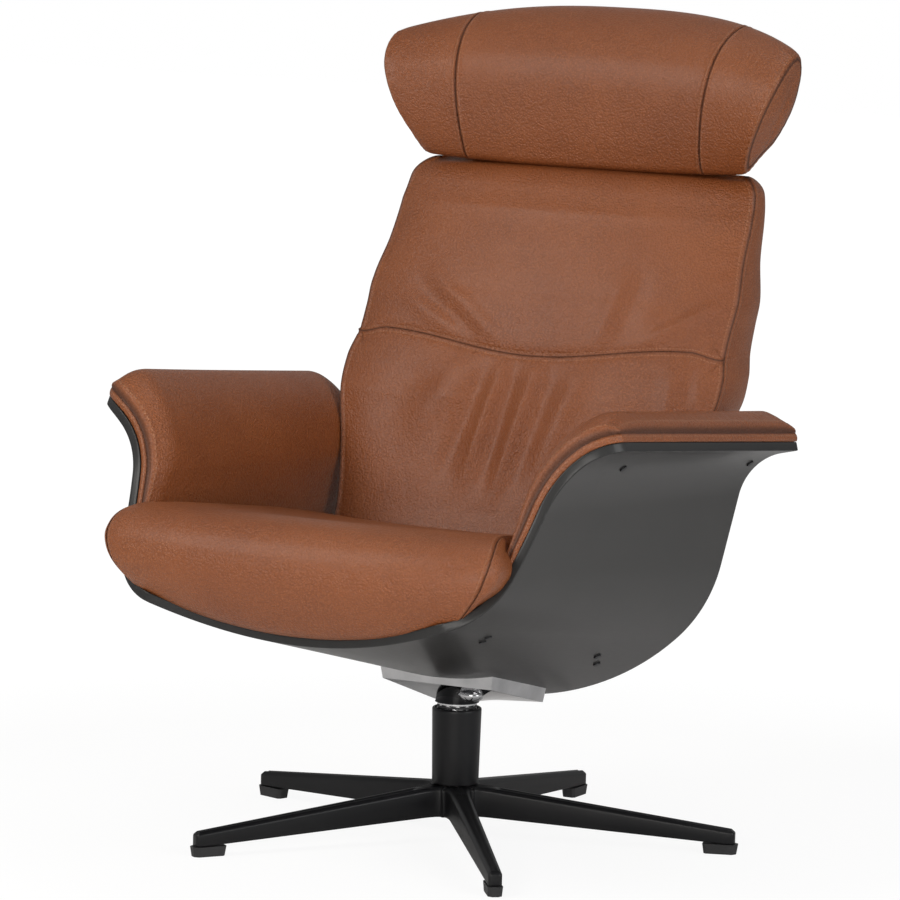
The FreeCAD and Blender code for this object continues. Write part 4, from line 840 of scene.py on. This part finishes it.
def stained_ply():
    """Dark stained veneer under satin lacquer: fine pores drawn out along the arms."""
    shader = Shader("stained_ply")
    grain = shader.noise(1.0, 5, 0.6, shader.stretched((420.0, 14.0, 260.0)))
    cloud = shader.noise(4.0, 3)
    tone = grain * 0.6 + cloud * 0.4
    base = shader.ramp(tone, [(0.3, (0.009, 0.008, 0.007, 1)), (0.7, (0.025, 0.0225, 0.021, 1))])
    edge = shader.attribute("seam_off").bell(1.6)
    base = shader.mixed(edge * 0.85, base, (0.003, 0.003, 0.003, 1))
    return shader.finish(Base_Color=base, Roughness=0.36 + grain * 0.10 + edge * 0.25,
                         Normal=shader.bump(grain, 0.10, 0.0004), Coat_Weight=0.25, Coat_Roughness=0.22)


def black_casting():
    """Powder-coated casting: satin black with a fine orange-peel."""
    shader = Shader("black_casting")
    peel = shader.noise(900.0, 2)
    cloud = shader.noise(9.0, 3)
    base = shader.ramp(cloud, [(0.3, (0.004, 0.004, 0.005, 1)), (0.7, (0.007, 0.007, 0.008, 1))])
    return shader.finish(Base_Color=base, Roughness=0.36 + cloud * 0.08,
                         Normal=shader.bump(peel, 0.12, 0.0003), Specular_IOR_Level=0.3)


def black_plastic():
    """Moulded plastic of the glides and bushes: matt, finely grained."""
    shader = Shader("moulded_plastic")
    grain = shader.noise(1400.0, 2)
    base = shader.ramp(shader.noise(14.0), [(0.3, (0.014, 0.014, 0.015, 1)), (0.7, (0.026, 0.026, 0.028, 1))])
    return shader.finish(Base_Color=base, Roughness=0.48 + grain * 0.1,
                         Normal=shader.bump(grain, 0.2, 0.0002))


def polished_aluminium():
    """Polished casting: bright metal with faint buffing lines and a slow ripple."""
    shader = Shader("polished_aluminium")
    ripple = shader.noise(26.0, 3)
    buff = shader.noise(1.0, 3, 0.5, shader.stretched((900.0, 60.0, 60.0)))
    base = shader.ramp(ripple, [(0.3, (0.44, 0.44, 0.45, 1)), (0.7, (0.58, 0.58, 0.59, 1))])
    return shader.finish(Base_Color=base, Metallic=1.0, Roughness=0.05 + buff * 0.07,
                         Normal=shader.bump(ripple + buff * 0.1, 0.08, 0.0006))


def ground_steel():
    """Turned steel: fine rings of a lathe."""
    shader = Shader("ground_steel")
    rings = shader.noise(1.0, 3, 0.6, shader.stretched((120.0, 120.0, 2400.0)))
    base = shader.ramp(rings, [(0.3, (0.52, 0.52, 0.53, 1)), (0.7, (0.68, 0.68, 0.69, 1))])
    return shader.finish(Base_Color=base, Metallic=1.0, Roughness=0.16 + rings * 0.16,
                         Normal=shader.bump(rings, 0.1, 0.0002))


def plain_ply():
    """Unstained board, seen only inside: long yellowish grain."""
    shader = Shader("plain_board")
    grain = shader.noise(1.0, 5, 0.6, shader.stretched((12.0, 160.0, 160.0)))
    base = shader.ramp(grain, [(0.3, (0.36, 0.22, 0.11, 1)), (0.7, (0.55, 0.38, 0.21, 1))])
    return shader.finish(Base_Color=base, Roughness=0.55 + grain * 0.15,
                         Normal=shader.bump(grain, 0.2, 0.0005))


def pale_ground():
    """White ground that keeps the chair's shadow: mostly its own white where the camera sees it."""
    shader = Shader("pale_ground")
    seen = shader.node("ShaderNodeLightPath", output="Is Camera Ray")
    light = shader.node("ShaderNodeEmission", inputs={"Color": (1, 1, 1, 1), "Strength": 1.05})
    away = shader.node("ShaderNodeVectorMath", {"operation": "LENGTH"}, {0: shader.here()}, 1)
    kept = 0.86 + ((away - 0.9) * 0.14).clamped(0, 0.14)
    matt = Value(shader, shader.surface.outputs[0])
    blend = shader.node("ShaderNodeMixShader", inputs={0: seen * kept, 1: matt, 2: light})
    shader.feed(shader.found("OUTPUT_MATERIAL").inputs["Surface"], blend)
    return shader.finish(Base_Color=(0.88, 0.88, 0.88, 1), Roughness=0.9)


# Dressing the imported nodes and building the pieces

def finish_nodes(finishes):
    """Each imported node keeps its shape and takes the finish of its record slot."""
    slots = {entry["node"]: entry["material_slot"] for entry in frame["record"]["subparts"]}
    for name, node in frame["nodes"].items():
        node.data.materials.clear()
        node.data.materials.append(finishes[slots[name]])


def build():
    """Makes the finishes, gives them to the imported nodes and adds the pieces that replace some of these."""
    hide = leather()
    casting = black_casting()
    bright = polished_aluminium()
    steel = ground_steel()
    finishes = {"black_casting": casting, "glide": black_plastic(), "bush": black_plastic(), "steel": steel,
                "black_screw": casting, "polished_aluminium": bright, "stained_ply": stained_ply(),
                "board": plain_ply(), "leather": hide}
    finish_nodes(finishes)
    ply_shell(finishes["stained_ply"])
    for side, name in ((-1, "right"), (1, "left")):
        arm_pad(side, name, hide)
    seat(hide)
    back_cushion(hide)
    headrest(hide)
    star_base(casting)
    column(casting)
    bracket("seat_bracket", bright)
    cap_dome(bright)


# Light, ground and camera

WARM, WHITE = (1, 0.97, 0.93), (1, 1, 1)
LIGHTS = (
    ("low_front", (0.9, -3.0, 0.9), (0, -0.2, 0.45), 1.6, 0.9, 34, WARM),
    ("key", (-1.9, -2.4, 2.9), (0, -0.1, 0.5), 1.5, 1.5, 62, WARM),
    ("fill", (3.0, -0.6, 1.4), (0, 0, 0.5), 1.2, 1.8, 36, WHITE),
    ("top", (0.3, 0.6, 3.2), (0, 0, 0.5), 1.6, 1.2, 13, WHITE))
SKY = [(0.0, 0.25), (0.02, 0.55), (0.22, 1.9), (0.34, 0.6), (1.0, 0.9)]
SKY_LIGHT, SKY_SEEN = 0.3, 0.7
GROUND_HALF = 12.0


def area_light(name, place, aim, width, height, power, colour):
    """A rectangular lamp at a place, aimed at another."""
    lamp = bpy.data.lights.new(name, "AREA")
    lamp.shape = "RECTANGLE"
    lamp.size, lamp.size_y, lamp.energy, lamp.color = width, height, power, colour
    light = bpy.data.objects.new(name, lamp)
    bpy.context.scene.collection.objects.link(light)
    light.location = place
    light.rotation_euler = (Vector(aim) - Vector(place)).to_track_quat("-Z", "Y").to_euler()


def studio():
    """A sky whose light rises to a bright band and falls again, seen as white; four lamps; a white ground."""
    scene = bpy.context.scene
    scene.view_settings.view_transform = "Standard"
    world = bpy.data.worlds.new("studio")
    scene.world = world
    world.use_nodes = True
    sky = Tree(world.node_tree)
    seen = sky.node("ShaderNodeLightPath", output="Is Camera Ray")
    way = sky.node("ShaderNodeTexCoord", output="Generated")
    height = sky.node("ShaderNodeSeparateXYZ", inputs={0: way}, output=2)
    stops = [(place, (bright, bright, bright, 1)) for place, bright in SKY]
    glow = sky.node("ShaderNodeValToRGB", {"stops": stops}, {"Fac": height})
    white = sky.node("ShaderNodeMix", {"data_type": "RGBA"}, {0: seen, 6: glow, 7: (1, 1, 1, 1)}, 2)
    background = sky.found("BACKGROUND")
    sky.feed(background.inputs["Color"], white)
    sky.feed(background.inputs["Strength"], seen * SKY_SEEN + SKY_LIGHT)
    for settings in LIGHTS:
        area_light(*settings)
    mesh = bpy.data.meshes.new("ground")
    corners = [(x * GROUND_HALF, y * GROUND_HALF, 0) for x, y in ((-1, -1), (1, -1), (1, 1), (-1, 1))]
    mesh.from_pydata(corners, [], [(0, 1, 2, 3)])
    ground = bpy.data.objects.new("ground", mesh)
    scene.collection.objects.link(ground)
    mesh.materials.append(pale_ground())


CAMERA_AT = (3.4890, -6.6431, 1.5225)
CAMERA_TURN, CAMERA_PITCH, CAMERA_ROLL, CAMERA_YAW = 27.7087, 7.6654, 1.3887, 0.1319
FOCAL_PIXELS, FRAME_PIXELS, SENSOR = 5822.95, 900, 36.0


def camera():
    """The camera that the photograph's proportions give: a long lens, turned 27.7 degrees round the chair."""
    yaw, pitch, roll = (math.radians(angle) for angle in (CAMERA_YAW, CAMERA_PITCH, CAMERA_ROLL))
    forward = Vector((-math.sin(yaw) * math.cos(pitch), math.cos(yaw) * math.cos(pitch), -math.sin(pitch)))
    right = forward.cross(Vector((0, 0, 1))).normalized()
    up = right.cross(forward)
    right, up = (right * math.cos(roll) + up * math.sin(roll), up * math.cos(roll) - right * math.sin(roll))
    turn = Matrix.Rotation(math.radians(CAMERA_TURN), 3, "Z")
    axes = Matrix([turn @ right, turn @ up, turn @ -forward]).transposed()
    data = bpy.data.cameras.new("camera")
    data.sensor_width = SENSOR
    data.lens = FOCAL_PIXELS / FRAME_PIXELS * SENSOR
    data.clip_end = 100
    view = bpy.data.objects.new("camera", data)
    bpy.context.scene.collection.objects.link(view)
    view.matrix_world = Matrix.Translation(CAMERA_AT) @ axes.to_4x4()
    bpy.context.scene.camera = view


build()
studio()
camera()
